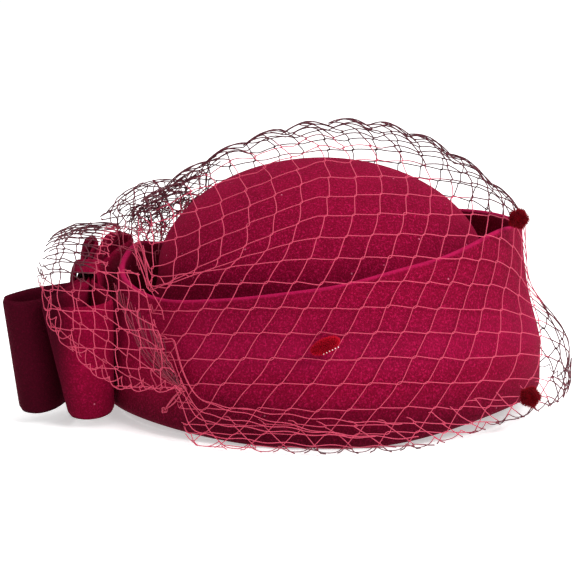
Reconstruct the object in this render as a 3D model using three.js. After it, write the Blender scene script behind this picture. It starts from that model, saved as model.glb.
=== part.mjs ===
// A pillbox hat in wool felt: an oval domed crown inside a turned-up cuff, a two-ribbon felt bow on the
// back, and a net veil that stands over the crown, hugs the cuff and flares over the bow.
// Millimetres, +Z up. +X points to the front of the hat and the bow is on -X. The shapes are worked out
// about the middle of the cuff's oval, and the finished hat is then centred over its own footprint.

import * as THREE from "three";

const { lerp, smoothstep, degToRad } = THREE.MathUtils;

// Walls and clearances
const FELT = 2;
const NET = 1.6;
const GAP = 0.4;

// Plan oval of the cuff's outside at its foot
const HALF_LENGTH = 103;
const HALF_WIDTH = 94;

// The cuff: a folded foot, a wall that leans in above a straight skirt, and a rolled top edge
const FOOT_RADIUS = 4.5;
const FOOT_FLAT = 3.5;
const LEAN_START = 28;
const LEAN_MOST = 11;
const LEAN_EASE = 25;
const EDGE_WIDTH = 3;
const FRONT_LIFT = 9;
const BACK_LIFT = 4.5;

// Height of the cuff's top edge round the oval, from the front (0 degrees) by the far side (90)
const EDGE_HEIGHTS = [
  { angle: 0, height: 85.5 },
  { angle: 20, height: 86 },
  { angle: 45, height: 84.5 },
  { angle: 90, height: 76 },
  { angle: 135, height: 68 },
  { angle: 150, height: 70.5 },
  { angle: 163, height: 73 },
  { angle: 180, height: 68 },
  { angle: 205, height: 62 },
  { angle: 222, height: 60.5 },
  { angle: 240, height: 63.5 },
  { angle: 260, height: 68.3 },
  { angle: 275, height: 72 },
  { angle: 290, height: 77.5 },
  { angle: 304, height: 81.5 },
  { angle: 315, height: 85.5 },
  { angle: 325, height: 89 },
  { angle: 335, height: 90 },
  { angle: 348, height: 87.5 },
];

// The crown: a dome on a flared skirt
const DOME_BASE = 64;
const DOME_RISE = 52.5;
const DOME_LENGTH = 77;
const DOME_RATIO = 0.88;
const SKIRT_POWER = 1.3;

// The bow: its waist, its height, how it tilts, and its two looped ribbons in plan.
// Each row is a point of a ribbon's middle line from the waist, and lean is how far the top edge stands
// out of the bottom edge there.
const WAIST_X = -111;
const WAIST_Z = 38;
const RIBBON_HEIGHT = 52;
const WAIST_HEIGHT = 48;
const BOW_SLOPE = 0.15;
const WAIST_LAYERS = 5;
const WAIST_ROOM = 2.4;
const OUTER_RIBBON = [
  { x: -3.7, y: 0, lean: 0 },
  { x: -3.7, y: -9, lean: 0 },
  { x: -6.5, y: -14, lean: -1 },
  { x: -13.5, y: -21, lean: -3 },
  { x: -23, y: -30, lean: -5 },
  { x: -30, y: -39, lean: -7 },
  { x: -28, y: -45, lean: -7 },
  { x: -21, y: -46.5, lean: -6 },
  { x: -13.5, y: -41, lean: -4 },
  { x: -8, y: -31, lean: -2 },
  { x: -4, y: -18, lean: -1 },
  { x: -1.25, y: -9, lean: 0 },
  { x: -1.25, y: 9, lean: 0 },
  { x: -1.1, y: 20, lean: 0 },
  { x: -0.4, y: 34, lean: 0 },
  { x: 0.6, y: 46, lean: 0 },
  { x: -1.8, y: 51, lean: 0 },
  { x: -5, y: 47, lean: 0 },
  { x: -4.9, y: 34, lean: 0 },
  { x: -4.2, y: 20, lean: 0 },
  { x: -3.7, y: 9, lean: 0 },
];
const INNER_RIBBON = [
  { x: 1.25, y: 0, lean: 0 },
  { x: 1.25, y: -9, lean: 0 },
  { x: -0.5, y: -20, lean: -2 },
  { x: -3.5, y: -33, lean: -5 },
  { x: -8, y: -44, lean: -10 },
  { x: -9, y: -50, lean: -12 },
  { x: -3, y: -53.5, lean: -9 },
  { x: 5, y: -53.5, lean: -4 },
  { x: 11.5, y: -50, lean: -1 },
  { x: 15, y: -43, lean: 0 },
  { x: 13, y: -34, lean: 0 },
  { x: 9.3, y: -23, lean: 0 },
  { x: 3.7, y: -10, lean: 0 },
  { x: 3.7, y: 0, lean: 0 },
  { x: 3.7, y: 10, lean: 0 },
  { x: 8.8, y: 23, lean: 0 },
  { x: 12.5, y: 34, lean: 0 },
  { x: 16.5, y: 44, lean: 0 },
  { x: 17, y: 53, lean: 0 },
  { x: 11, y: 58, lean: 0 },
  { x: 5, y: 54, lean: 0 },
  { x: 3, y: 38, lean: 0 },
  { x: 1.6, y: 20, lean: 0 },
  { x: 1.25, y: 9, lean: 0 },
];
const KNOT_WIDTH = 17;
const KNOT_POWER = 8;

// The veil cage: a dome from its apex to a shoulder above the cuff's edge, then a wall down to the hem
const CAGE_APEX = new THREE.Vector3(12, 0, 134);
const CAGE_POWER = 0.8;
const CAGE_CLEAR = 1.2;
const SHOULDER_RISE = 2.5;
const FRONT_BULGE = 12.5;
const HEM_FLARE = 8;
const HEM_HEIGHT = 0.5;
const HEM_RISE = 8;
const GATHER_HEIGHT = 78;
const GATHER_FROM = 118;
const GATHER_TO = 150;
const GATHER_OUT = 4;

// The veil's flounce over the bow: root, middle and free edge of each rib, from the far side to the near
const FLOUNCE_RIBS = [
  { root: [-96, 40, 75.5], middle: [-106, 46, 77], edge: [-115, 48, 73.5] },
  { root: [-101, 22, 77], middle: [-112, 25, 79], edge: [-122, 26, 74] },
  { root: [-103.5, 2, 78], middle: [-116, 0, 81], edge: [-127, -4, 74] },
  { root: [-103, -20, 77], middle: [-118, -22, 79], edge: [-131, -24, 69] },
  { root: [-99, -38, 73], middle: [-115, -42, 74], edge: [-129, -44, 61] },
  { root: [-94, -50, 68], middle: [-110, -59, 67], edge: [-125, -59, 50] },
  { root: [-90, -59, 56], middle: [-103, -62.5, 54], edge: [-115, -61, 40] },
  { root: [-82, -64, 40], middle: [-93, -66.5, 38], edge: [-104, -65, 28] },
  { root: [-72, -73, 28], middle: [-80, -73.5, 26], edge: [-88, -70.5, 20] },
];

// Chenille dots: a long tuft on the near wall and two round ones at the front
const DOTS = [
  { name: "dot_front", at: [1.5, -96.4, 47.1], half: [8.5, 3, 3.8], slant: -25 },
  { name: "dot_top", at: [89, -43.5, 95], half: [4.5, 4.2, 4.2], slant: 0 },
  { name: "dot_low", at: [94.5, -65.7, 17.6], half: [4.4, 4, 4.4], slant: 0 },
];

// How finely each form is faceted
const CROWN_SIDES = 56;
const CUFF_SIDES = 64;
const CAGE_SIDES = 44;
const RIBBON_STEPS = 64;
const KNOT_STEPS = 32;

// ---- Curves and surfaces -----------------------------------------------------------------------------

// A smooth closed curve through rows that repeat every 360 degrees, read at any angle.
function aroundOval(rows, angle) {
  const turned = ((angle % 360) + 360) % 360;
  const at = (i) => {
    const turns = Math.floor(i / rows.length);
    const row = rows[i - turns * rows.length];
    return { angle: row.angle + 360 * turns, height: row.height };
  };
  let i = rows.length - 1;
  while (rows[i].angle > turned) i -= 1;
  const [before, low, high, after] = [at(i - 1), at(i), at(i + 1), at(i + 2)];
  const span = high.angle - low.angle;
  const t = (turned - low.angle) / span;
  const slopeLow = (span * (high.height - before.height)) / (high.angle - before.angle);
  const slopeHigh = (span * (after.height - low.height)) / (after.angle - low.angle);
  const rise = t * t * (3 - 2 * t);
  return (
    lerp(low.height, high.height, rise) +
    slopeLow * t * (1 - t) * (1 - t) -
    slopeHigh * t * t * (1 - t)
  );
}

// A point of the plan oval, moved in from the cuff's outside by inset.
function onOval(degrees, inset, z) {
  const turn = degToRad(degrees);
  return new THREE.Vector3(
    (HALF_LENGTH - inset) * Math.cos(turn),
    (HALF_WIDTH - inset) * Math.sin(turn),
    z,
  );
}

const edgeHeight = (degrees) => aroundOval(EDGE_HEIGHTS, degrees);

// The foot rises at the front and the back, and lies flat along the two sides.
function footHeight(degrees) {
  const along = Math.cos(degToRad(degrees));
  return (along > 0 ? FRONT_LIFT : BACK_LIFT) * smoothstep(Math.abs(along), 0.2, 0.95);
}

// How far the cuff's wall leans in at a height.
function wallLean(z) {
  const above = Math.max(0, z - LEAN_START) ** 2;
  return (LEAN_MOST * above) / (above + LEAN_EASE ** 2);
}

const steps = (count, from, to) =>
  Array.from({ length: count }, (_, i) => lerp(from, to, i / (count - 1)));

const ovalAngles = (sides) => Array.from({ length: sides }, (_, i) => (360 * i) / sides);

// ---- Building solids ---------------------------------------------------------------------------------

// Makes an indexed geometry and turns its faces outwards.
function closedGeometry(points, faces) {
  const volume = faces.reduce((sum, [a, b, c]) => {
    const across = new THREE.Vector3().crossVectors(points[b], points[c]);
    return sum + points[a].dot(across);
  }, 0);
  const outward = volume < 0 ? faces.map(([a, b, c]) => [a, c, b]) : faces;
  const geometry = new THREE.BufferGeometry().setFromPoints(points);
  geometry.setIndex(outward.flat());
  geometry.computeVertexNormals();
  return geometry;
}

// Skins closed rings of equal length in order. The last ring joins the first, or, where two poles are
// given, each end is closed to its pole.
function loft(rings, poles) {
  const count = rings[0].length;
  const points = rings.flat();
  const faces = [];
  const joins = poles ? rings.length - 1 : rings.length;
  for (let r = 0; r < joins; r += 1) {
    const next = (r + 1) % rings.length;
    for (let i = 0; i < count; i += 1) {
      const j = (i + 1) % count;
      const [a, b] = [r * count + i, r * count + j];
      const [c, d] = [next * count + i, next * count + j];
      faces.push([a, b, d], [a, d, c]);
    }
  }
  if (poles) {
    const last = (rings.length - 1) * count;
    const [first, end] = [points.length, points.length + 1];
    points.push(poles[0], poles[1]);
    for (let i = 0; i < count; i += 1) {
      const j = (i + 1) % count;
      faces.push([first, j, i], [end, last + i, last + j]);
    }
  }
  return closedGeometry(points, faces);
}

// A closed wall on both sides of a surface(u, v), with u and v from 0 to 1.
function sheetSolid(surface, thickness, across, along) {
  const nudge = 1e-3;
  const face = (side) =>
    steps(along + 1, 0, 1).flatMap((v) =>
      steps(across + 1, 0, 1).map((u) => {
        const du = surface(u + nudge, v).sub(surface(u - nudge, v));
        const dv = surface(u, v + nudge).sub(surface(u, v - nudge));
        const normal = du.cross(dv).normalize();
        return surface(u, v).addScaledVector(normal, (side * thickness) / 2);
      }),
    );
  const points = [...face(1), ...face(-1)];
  const width = across + 1;
  const under = width * (along + 1);
  const faces = [];
  for (let v = 0; v < along; v += 1)
    for (let u = 0; u < across; u += 1) {
      const a = v * width + u;
      const c = a + width;
      faces.push([a, a + 1, c + 1], [a, c + 1, c]);
      faces.push([under + a, under + c + 1, under + a + 1], [under + a, under + c, under + c + 1]);
    }
  const rim = [];
  for (let u = 0; u < across; u += 1) rim.push(u);
  for (let v = 0; v < along; v += 1) rim.push(v * width + across);
  for (let u = across; u > 0; u -= 1) rim.push(along * width + u);
  for (let v = along; v > 0; v -= 1) rim.push(v * width);
  rim.forEach((a, i) => {
    const b = rim[(i + 1) % rim.length];
    faces.push([a, under + b, b], [a, under + a, under + b]);
  });
  return closedGeometry(points, faces);
}

// ---- The pieces --------------------------------------------------------------------------------------

// One wall of the crown, moved in by inset: rings from just under its apex down to its foot.
function crownWall(inset) {
  const footLength = HALF_LENGTH - FOOT_RADIUS - FOOT_FLAT - GAP;
  const footRatio = (HALF_WIDTH - FOOT_RADIUS - FOOT_FLAT - GAP) / footLength;
  const ring = (length, ratio, height) =>
    ovalAngles(CROWN_SIDES).map((degrees) => {
      const turn = degToRad(degrees);
      const x = (length - inset) * Math.cos(turn);
      const y = (length * ratio - inset) * Math.sin(turn);
      return new THREE.Vector3(x, y, height(degrees));
    });
  const dome = steps(7, 14, 90).map((climb) => {
    const rise = (DOME_RISE - inset) * Math.cos(degToRad(climb));
    const reach = Math.sin(degToRad(climb));
    const length = DOME_LENGTH * reach + inset * (1 - reach);
    return ring(length, DOME_RATIO, () => DOME_BASE + rise);
  });
  const skirt = steps(6, 0, 1)
    .slice(1)
    .map((down) => {
      const length = lerp(DOME_LENGTH, footLength, down ** SKIRT_POWER);
      const ratio = lerp(DOME_RATIO, footRatio, down);
      return ring(length, ratio, (degrees) => lerp(DOME_BASE, footHeight(degrees), down));
    });
  return [...dome, ...skirt];
}

function crown() {
  const apex = (inset) => new THREE.Vector3(0, 0, DOME_BASE + DOME_RISE - inset);
  return loft([...crownWall(0), ...crownWall(FELT).reverse()], [apex(0), apex(FELT)]);
}

// The cuff is a J in section: a flat foot, a fold, an outer wall, a rolled edge, and back down inside.
function cuffSection(degrees) {
  const foot = footHeight(degrees);
  const top = edgeHeight(degrees);
  const fold = 1 - Math.SQRT1_2;
  const lip = FOOT_RADIUS + FOOT_FLAT;
  const wall = (inset, share) => {
    const z = lerp(foot + FOOT_RADIUS, top - 1.5, share);
    return [wallLean(z) + inset, z];
  };
  const lean = wallLean(top);
  return [
    [lip, foot],
    [FOOT_RADIUS, foot],
    [FOOT_RADIUS * fold, foot + FOOT_RADIUS * fold],
    ...[0, 0.22, 0.4, 0.58, 0.78, 1].map((share) => wall(0, share)),
    [lean + 0.7, top],
    [lean + EDGE_WIDTH - 0.8, top],
    ...[1, 0.7, 0.45, 0.22, 0].map((share) => wall(share === 1 ? EDGE_WIDTH : FELT, share)),
    [FOOT_RADIUS, foot + FELT],
    [lip, foot + FELT],
  ].map(([inset, z]) => onOval(degrees, inset, z));
}

function cuff() {
  return loft(ovalAngles(CUFF_SIDES).map(cuffSection));
}

// A ribbon loop: a closed strip that stands on edge along its plan rows and narrows at the waist.
function ribbon(rows) {
  const plan = rows.map(({ x, y }) => new THREE.Vector3(x, y, 0));
  const lean = rows.map((row) => new THREE.Vector3(row.lean, 0, 0));
  const path = new THREE.CatmullRomCurve3(plan, true, "catmullrom", 0.5);
  const leans = new THREE.CatmullRomCurve3(lean, true, "catmullrom", 0.5);
  const sections = Array.from({ length: RIBBON_STEPS }, (_, i) => {
    const t = i / RIBBON_STEPS;
    const at = path.getPoint(t);
    const along = path.getTangent(t);
    const side = new THREE.Vector3(along.y, -along.x, 0).multiplyScalar(FELT / 2);
    const slack = smoothstep(Math.abs(at.y), KNOT_WIDTH / 2 + 1, 30);
    const height = lerp(WAIST_HEIGHT, RIBBON_HEIGHT, slack);
    const corner = (out, up) => {
      const x = WAIST_X + at.x + out * side.x + leans.getPoint(t).x * up;
      const y = at.y + out * side.y;
      return new THREE.Vector3(x, y, WAIST_Z + BOW_SLOPE * at.y + height * up);
    };
    return [corner(1, -0.5), corner(-1, -0.5), corner(-1, 0.5), corner(1, 0.5)];
  });
  return loft(sections);
}

// The knot: a band round the ribbons' waist, a rounded rectangle in the X-Z plane.
function knot() {
  const rounded = (value) => Math.sign(value) * Math.abs(value) ** (2 / KNOT_POWER);
  const sections = Array.from({ length: KNOT_STEPS }, (_, i) => {
    const turn = (2 * Math.PI * (i + 0.5)) / KNOT_STEPS;
    const corner = (out, y) => {
      const x = WAIST_X + (WAIST_LAYERS + GAP + out) * rounded(Math.cos(turn));
      const reach = WAIST_HEIGHT / 2 + WAIST_ROOM + out;
      return new THREE.Vector3(x, y, WAIST_Z + BOW_SLOPE * y + reach * rounded(Math.sin(turn)));
    };
    const half = KNOT_WIDTH / 2;
    return [corner(0, -half), corner(FELT, -half), corner(FELT, half), corner(0, half)];
  });
  return loft(sections);
}

// How far the cage's hem has climbed towards the gather, from 0 to 1, at an angle from the front.
function gathered(degrees) {
  const fromFront = Math.abs(((degrees + 180) % 360) - 180);
  return smoothstep(fromFront, GATHER_FROM, GATHER_TO);
}

// Clearance between the cuff's wall and the cage: a full bulge at the front, a flared hem at the sides.
function cageStandoff(degrees, z) {
  const front = smoothstep(Math.cos(degToRad(degrees)), 0.5, 1);
  const bulge = (1 - smoothstep(z, 28, 62)) * lerp(0.65, 1, smoothstep(z, 2, 14));
  const flare = (1 - front) * (1 - gathered(degrees)) * (1 - smoothstep(z, 0, 26)) ** 2;
  return CAGE_CLEAR + FRONT_BULGE * front * bulge + HEM_FLARE * flare;
}

// One face of the cage, moved out by outset: rings from just under the apex to the hem.
function cageWall(outset) {
  const angles = ovalAngles(CAGE_SIDES);
  const shoulder = (degrees) => {
    const pull = gathered(degrees);
    const z = Math.max(edgeHeight(degrees) + SHOULDER_RISE, lerp(0, GATHER_HEIGHT + 2, pull));
    return onOval(degrees, wallLean(z) - CAGE_CLEAR - GATHER_OUT * pull - outset, z);
  };
  const dome = steps(8, 0.1, 1).map((reach) =>
    angles.map((degrees) => {
      const rim = shoulder(degrees);
      const swell = Math.cos((Math.PI / 2) * reach) ** CAGE_POWER;
      const z = lerp(rim.z, CAGE_APEX.z, swell) + outset * swell;
      return new THREE.Vector3().lerpVectors(CAGE_APEX, rim, reach).setZ(z);
    }),
  );
  const wall = [0.16, 0.36, 0.56, 0.76, 0.9, 1].map((down) =>
    angles.map((degrees) => {
      const rim = shoulder(degrees);
      const raised = HEM_HEIGHT + HEM_RISE * smoothstep(Math.cos(degToRad(degrees)), 0.25, 0.95);
      const z = lerp(rim.z, lerp(raised, GATHER_HEIGHT, gathered(degrees)), down);
      const clear = cageStandoff(degrees, z) + GATHER_OUT * gathered(degrees);
      return onOval(degrees, wallLean(z) - clear - outset, z);
    }),
  );
  return [...dome, ...wall];
}

function veilCage() {
  const apex = (outset) => CAGE_APEX.clone().add(new THREE.Vector3(0, 0, outset));
  return loft([...cageWall(NET), ...cageWall(0).reverse()], [apex(NET), apex(0)]);
}

// The flounce: each rib is an arc through its three points, and the ribs are joined smoothly.
function veilFlounce() {
  const line = (key) =>
    new THREE.CatmullRomCurve3(FLOUNCE_RIBS.map((rib) => new THREE.Vector3(...rib[key])));
  const [root, middle, edge] = [line("root"), line("middle"), line("edge")];
  const surface = (u, v) => {
    const share = THREE.MathUtils.clamp(v, 0, 1);
    return new THREE.Vector3()
      .addScaledVector(root.getPoint(share), (1 - u) * (1 - 2 * u))
      .addScaledVector(middle.getPoint(share), 4 * u * (1 - u))
      .addScaledVector(edge.getPoint(share), u * (2 * u - 1));
  };
  return sheetSolid(surface, NET, 6, 20);
}

// A chenille dot: a small ball, or a tuft where it is drawn out.
function dot({ half }) {
  const geometry = new THREE.SphereGeometry(1, 12, 8);
  return geometry.scale(...half);
}

// ---- The hat -----------------------------------------------------------------------------------------

const felt = (shade) => new THREE.MeshStandardMaterial({ color: shade, roughness: 0.95, metalness: 0 });
const thread = (shade) => new THREE.MeshStandardMaterial({ color: shade, roughness: 0.7, metalness: 0 });

function piece(name, geometry, material) {
  const mesh = new THREE.Mesh(geometry, material);
  mesh.name = name;
  return mesh;
}

const hat = new THREE.Group();
hat.add(piece("crown", crown(), felt(0x8a0d36)));
hat.add(piece("cuff", cuff(), felt(0x920f3a)));
hat.add(piece("bow_ribbon_outer", ribbon(OUTER_RIBBON), felt(0x7f0c32)));
hat.add(piece("bow_ribbon_inner", ribbon(INNER_RIBBON), felt(0x860d35)));
hat.add(piece("bow_knot", knot(), felt(0x8e0f39)));
hat.add(piece("veil_cage", veilCage(), thread(0xc23a5e)));
hat.add(piece("veil_flounce", veilFlounce(), thread(0xb83257)));
for (const spec of DOTS) {
  const tuft = piece(spec.name, dot(spec), thread(0xb01030));
  tuft.position.set(...spec.at);
  tuft.rotation.y = degToRad(spec.slant);
  hat.add(tuft);
}

const box = new THREE.Box3().setFromObject(hat, true);
const middle = box.getCenter(new THREE.Vector3());
hat.position.set(-middle.x, -middle.y, -box.min.z);

const part = new THREE.Group();
part.add(hat);

export default part;
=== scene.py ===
"""A wool-felt pillbox hat with a turned-up cuff, a looped felt bow, a net veil and chenille dots.

Shapes are worked out in millimetres about the middle of the cuff's oval, with +X to the front of the hat,
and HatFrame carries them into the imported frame, in metres.
"""

import logging
import math
from dataclasses import dataclass, field
from enum import Enum
from typing import Any, Callable

import bpy
import numpy as np
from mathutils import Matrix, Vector


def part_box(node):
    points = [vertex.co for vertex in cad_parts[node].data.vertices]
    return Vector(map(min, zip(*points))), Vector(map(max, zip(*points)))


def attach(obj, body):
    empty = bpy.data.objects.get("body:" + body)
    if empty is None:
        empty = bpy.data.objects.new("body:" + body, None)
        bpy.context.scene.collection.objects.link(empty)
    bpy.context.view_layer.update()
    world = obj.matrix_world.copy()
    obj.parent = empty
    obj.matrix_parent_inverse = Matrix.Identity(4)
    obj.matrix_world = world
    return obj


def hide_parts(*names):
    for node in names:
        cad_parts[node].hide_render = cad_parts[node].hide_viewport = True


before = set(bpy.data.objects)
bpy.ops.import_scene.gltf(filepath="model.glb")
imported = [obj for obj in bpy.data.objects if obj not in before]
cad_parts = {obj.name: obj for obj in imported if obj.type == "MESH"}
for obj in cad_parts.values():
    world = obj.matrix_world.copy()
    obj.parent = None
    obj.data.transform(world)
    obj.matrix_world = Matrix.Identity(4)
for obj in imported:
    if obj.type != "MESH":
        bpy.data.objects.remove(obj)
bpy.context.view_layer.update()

LOG = logging.getLogger("pillbox_hat")
Array = np.ndarray
BODY = "root"
MM = 0.001
FELT_WALL = 2.0
IN_PLAN = np.array([1.0, 1.0, 0.0])
FULL_TURN = 2 * math.pi


# ---- Sizes and curves --------------------------------------------------------------------------------


def smoothstep(value: Array, low: float, high: float) -> Array:
    """Ease from 0 at low to 1 at high, as 3t^2 - 2t^3.

    Args:
        value: Where to read the curve.
        low: The value that gives 0.
        high: The value that gives 1.

    Returns:
        The eased share, from 0 to 1.
    """
    share = np.clip((np.asarray(value, float) - low) / (high - low), 0.0, 1.0)
    return share * share * (3.0 - 2.0 * share)


def lerp(low: Any, high: Any, share: Any) -> Any:
    """Blend from low to high by share."""
    return low + (high - low) * share


def unit(vectors: Array, least: float = 0.0) -> Array:
    """Rows of vectors over their lengths; least is added to a length that could be nothing."""
    return vectors / (np.linalg.norm(vectors, axis=-1, keepdims=True) + least)


def running_length(points: Array) -> Array:
    """Distance along a row of points from the first to each of them."""
    return np.concatenate([[0], np.cumsum(np.linalg.norm(np.diff(points, axis=0), axis=1))])


def span(knots: tuple[Array, Array, Array, Array], t: Array) -> Array:
    """A Catmull-Rom span: the cubic from the second knot to the third that leaves along its neighbours."""
    k0, k1, k2, k3 = knots
    return 0.5 * (
        2 * k1 + (k2 - k0) * t + (2 * k0 - 5 * k1 + 4 * k2 - k3) * t**2
        + (3 * k1 - k0 - 3 * k2 + k3) * t**3
    )


def closed_curve(knots: Array, at: Array) -> Array:
    """A smooth closed curve through rows of knots, each joined to the next by a Catmull-Rom span.

    Args:
        knots: Rows of coordinates, any number of columns.
        at: Places along the curve, from 0 to 1 once round.

    Returns:
        One row of coordinates for each place.
    """
    count = len(knots)
    scaled = (np.asarray(at, float) % 1.0) * count
    low = np.floor(scaled).astype(int)
    t = (scaled - low)[:, None]
    return span(tuple(knots[(low + step) % count] for step in (-1, 0, 1, 2)), t)


def open_curve(knots: Array, at: Array) -> Array:
    """A smooth open curve through rows of knots, as closed_curve but with its two ends held.

    Args:
        knots: Rows of coordinates, any number of columns.
        at: Places along the curve, from 0 to 1 end to end.

    Returns:
        One row of coordinates for each place.
    """
    padded = np.vstack([2 * knots[0] - knots[1], knots, 2 * knots[-1] - knots[-2]])
    scaled = np.clip(np.asarray(at, float), 0.0, 1.0) * (len(knots) - 1)
    low = np.minimum(np.floor(scaled).astype(int), len(knots) - 2)
    t = (scaled - low)[:, None]
    return span(tuple(padded[low + step] for step in (0, 1, 2, 3)), t)


@dataclass(frozen=True)
class HatFrame:
    """Where the hat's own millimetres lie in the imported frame."""

    middle: tuple[float, float, float]
    half_length: float
    half_width: float
    cuff_height: float

    @classmethod
    def measured(cls) -> "HatFrame":
        """Read the cuff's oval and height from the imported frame."""
        low, high = (Vector(corner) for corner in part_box("cuff"))
        centre = (low + high) / 2
        size = (high - low) / MM
        return cls((centre.x, centre.y, low.z), size.x / 2, size.y / 2, size.z)

    def to_metres(self, points: Array) -> Array:
        """Carry points in the hat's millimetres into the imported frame."""
        return np.asarray(points, float) * MM + np.array(self.middle)


@dataclass(frozen=True)
class HatForm:
    """The hat's driving forms: its plan oval, its cuff's edge, foot and lean, and its veil's outer form."""

    place: HatFrame
    foot_radius: float = 4.5
    foot_flat: float = 3.5
    front_lift: float = 9.0
    back_lift: float = 4.5
    lean_start: float = 28.0
    lean_most: float = 11.0
    lean_ease: float = 25.0
    cage_apex: tuple[float, float, float] = (12.0, 0.0, 134.0)
    cage_power: float = 0.8
    cage_clear: float = 1.2
    shoulder_rise: float = 2.5
    front_bulge: float = 12.5
    hem_flare: float = 8.0
    hem_height: float = 0.9
    hem_rise: float = 8.0
    gather_height: float = 78.0
    gather_from: float = 118.0
    gather_to: float = 150.0
    gather_out: float = 4.0
    edge_shares: tuple[tuple[float, float], ...] = (
        (0, 0.95), (20, 0.956), (45, 0.939), (90, 0.844), (135, 0.756), (150, 0.783), (163, 0.811),
        (180, 0.756), (205, 0.689), (222, 0.672), (240, 0.706), (260, 0.759), (275, 0.8), (290, 0.861),
        (304, 0.906), (315, 0.95), (325, 0.989), (335, 1.0), (348, 0.972),
    )

    def on_oval(self, angle: Array, inset: Array, z: Array) -> Array:
        """Points of the plan oval, moved in from the cuff's outside by inset, at height z."""
        angle, inset, z = np.broadcast_arrays(angle, inset, z)
        x = (self.place.half_length - inset) * np.cos(angle)
        y = (self.place.half_width - inset) * np.sin(angle)
        return np.stack([x, y, z], axis=-1)

    def edge_height(self, angle: Array) -> Array:
        """Height of the cuff's top edge: a smooth closed curve through the edge shares.

        Args:
            angle: Angles round the oval from the front, in radians.

        Returns:
            Heights in millimetres.
        """
        rows = np.array(self.edge_shares)
        turned = np.degrees(angle) % 360.0
        before = np.searchsorted(rows[:, 0], turned, side="right") - 1
        count = len(rows)

        def row(step: int) -> tuple[Array, Array]:
            """Angle and height of the row that many places after the one before each angle."""
            index = before + step
            return rows[index % count, 0] + 360.0 * (index // count), rows[index % count, 1]

        (a0, h0), (a1, h1), (a2, h2), (a3, h3) = (row(step) for step in (-1, 0, 1, 2))
        width = a2 - a1
        t = (turned - a1) / width
        slopes = width * (h2 - h0) / (a2 - a0), width * (h3 - h1) / (a3 - a1)
        share = lerp(h1, h2, t * t * (3 - 2 * t))
        share = share + slopes[0] * t * (1 - t) ** 2 - slopes[1] * t**2 * (1 - t)
        return share * self.place.cuff_height

    def foot_height(self, angle: Array) -> Array:
        """The foot rises at the front and the back, and lies flat along the two sides."""
        along = np.cos(angle)
        lift = np.where(along > 0, self.front_lift, self.back_lift)
        return lift * smoothstep(np.abs(along), 0.2, 0.95)

    def wall_lean(self, z: Array) -> Array:
        """How far the cuff's wall leans in at a height: none up to lean_start, then easing to lean_most."""
        above = np.maximum(0.0, np.asarray(z, float) - self.lean_start) ** 2
        return self.lean_most * above / (above + self.lean_ease**2)

    def gathered(self, angle: Array) -> Array:
        """How far the veil's hem has climbed towards its gather at the back, from 0 to 1."""
        from_front = np.abs((np.degrees(angle) + 180.0) % 360.0 - 180.0)
        return smoothstep(from_front, self.gather_from, self.gather_to)

    def cage_hem(self, angle: Array) -> Array:
        """Height of the veil's hem round the hat: raised at the front, and up to the gather behind."""
        raised = self.hem_height + self.hem_rise * smoothstep(np.cos(angle), 0.25, 0.95)
        return lerp(raised, self.gather_height, self.gathered(angle))

    def cage_standoff(self, angle: Array, z: Array) -> Array:
        """Clearance of the veil from the cuff: a full bulge at the front, a flared hem at the sides."""
        pull = self.gathered(angle)
        front = smoothstep(np.cos(angle), 0.5, 1.0)
        bulge = (1 - smoothstep(z, 28, 62)) * lerp(0.65, 1.0, smoothstep(z, 2, 14))
        flare = (1 - front) * (1 - pull) * (1 - smoothstep(z, 0, 26)) ** 2
        clear = self.cage_clear + self.front_bulge * front * bulge + self.hem_flare * flare
        return clear + self.gather_out * pull

    def shoulder(self, angle: Array) -> Array:
        """The rim where the veil turns from its wall to its dome, just over the cuff's edge."""
        pull = self.gathered(angle)
        z = np.maximum(self.edge_height(angle) + self.shoulder_rise, (self.gather_height + 2) * pull)
        return self.on_oval(angle, self.wall_lean(z) - self.cage_clear - self.gather_out * pull, z)

    def cage_wall(self, angle: Array, climb: Array) -> Array:
        """Points of the veil's wall: from the hem at climb 0 to the shoulder at climb 1."""
        rim = self.shoulder(angle)
        z = lerp(self.cage_hem(angle), rim[..., 2], climb)
        return self.on_oval(angle, self.wall_lean(z) - self.cage_standoff(angle, z), z)

    def cage_dome(self, x: Array, y: Array) -> Array:
        """Points of the veil's dome over places x, y inside its shoulder.

        A place's reach is its distance from the apex over the shoulder's distance that way. The height
        falls from the apex to the shoulder as a cosine of the reach, raised to cage_power.
        """
        turns = np.linspace(-math.pi, math.pi, 721)
        rim = self.shoulder(turns)
        apex = np.array(self.cage_apex)
        around = np.unwrap(np.arctan2(rim[:, 1] - apex[1], rim[:, 0] - apex[0]))
        distance = np.hypot(rim[:, 0] - apex[0], rim[:, 1] - apex[1])
        heading = np.arctan2(y - apex[1], x - apex[0])
        far = np.interp(heading, around, distance)
        base = np.interp(heading, around, rim[:, 2])
        reach = np.clip(np.hypot(x - apex[0], y - apex[1]) / far, 0.0, 1.0)
        z = lerp(base, apex[2], np.cos(math.pi / 2 * reach) ** self.cage_power)
        return np.stack([x, y, z], axis=-1)


# ---- Meshes from arrays ------------------------------------------------------------------------------


def enclosed(points: Array, triangles: Array) -> float:
    """Signed volume inside a closed surface: the sum of its triangles' volumes about the origin."""
    a, b, c = (points[triangles[:, k]] for k in range(3))
    return float(np.einsum("ij,ij->i", a, np.cross(b, c)).sum() / 6)


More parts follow.
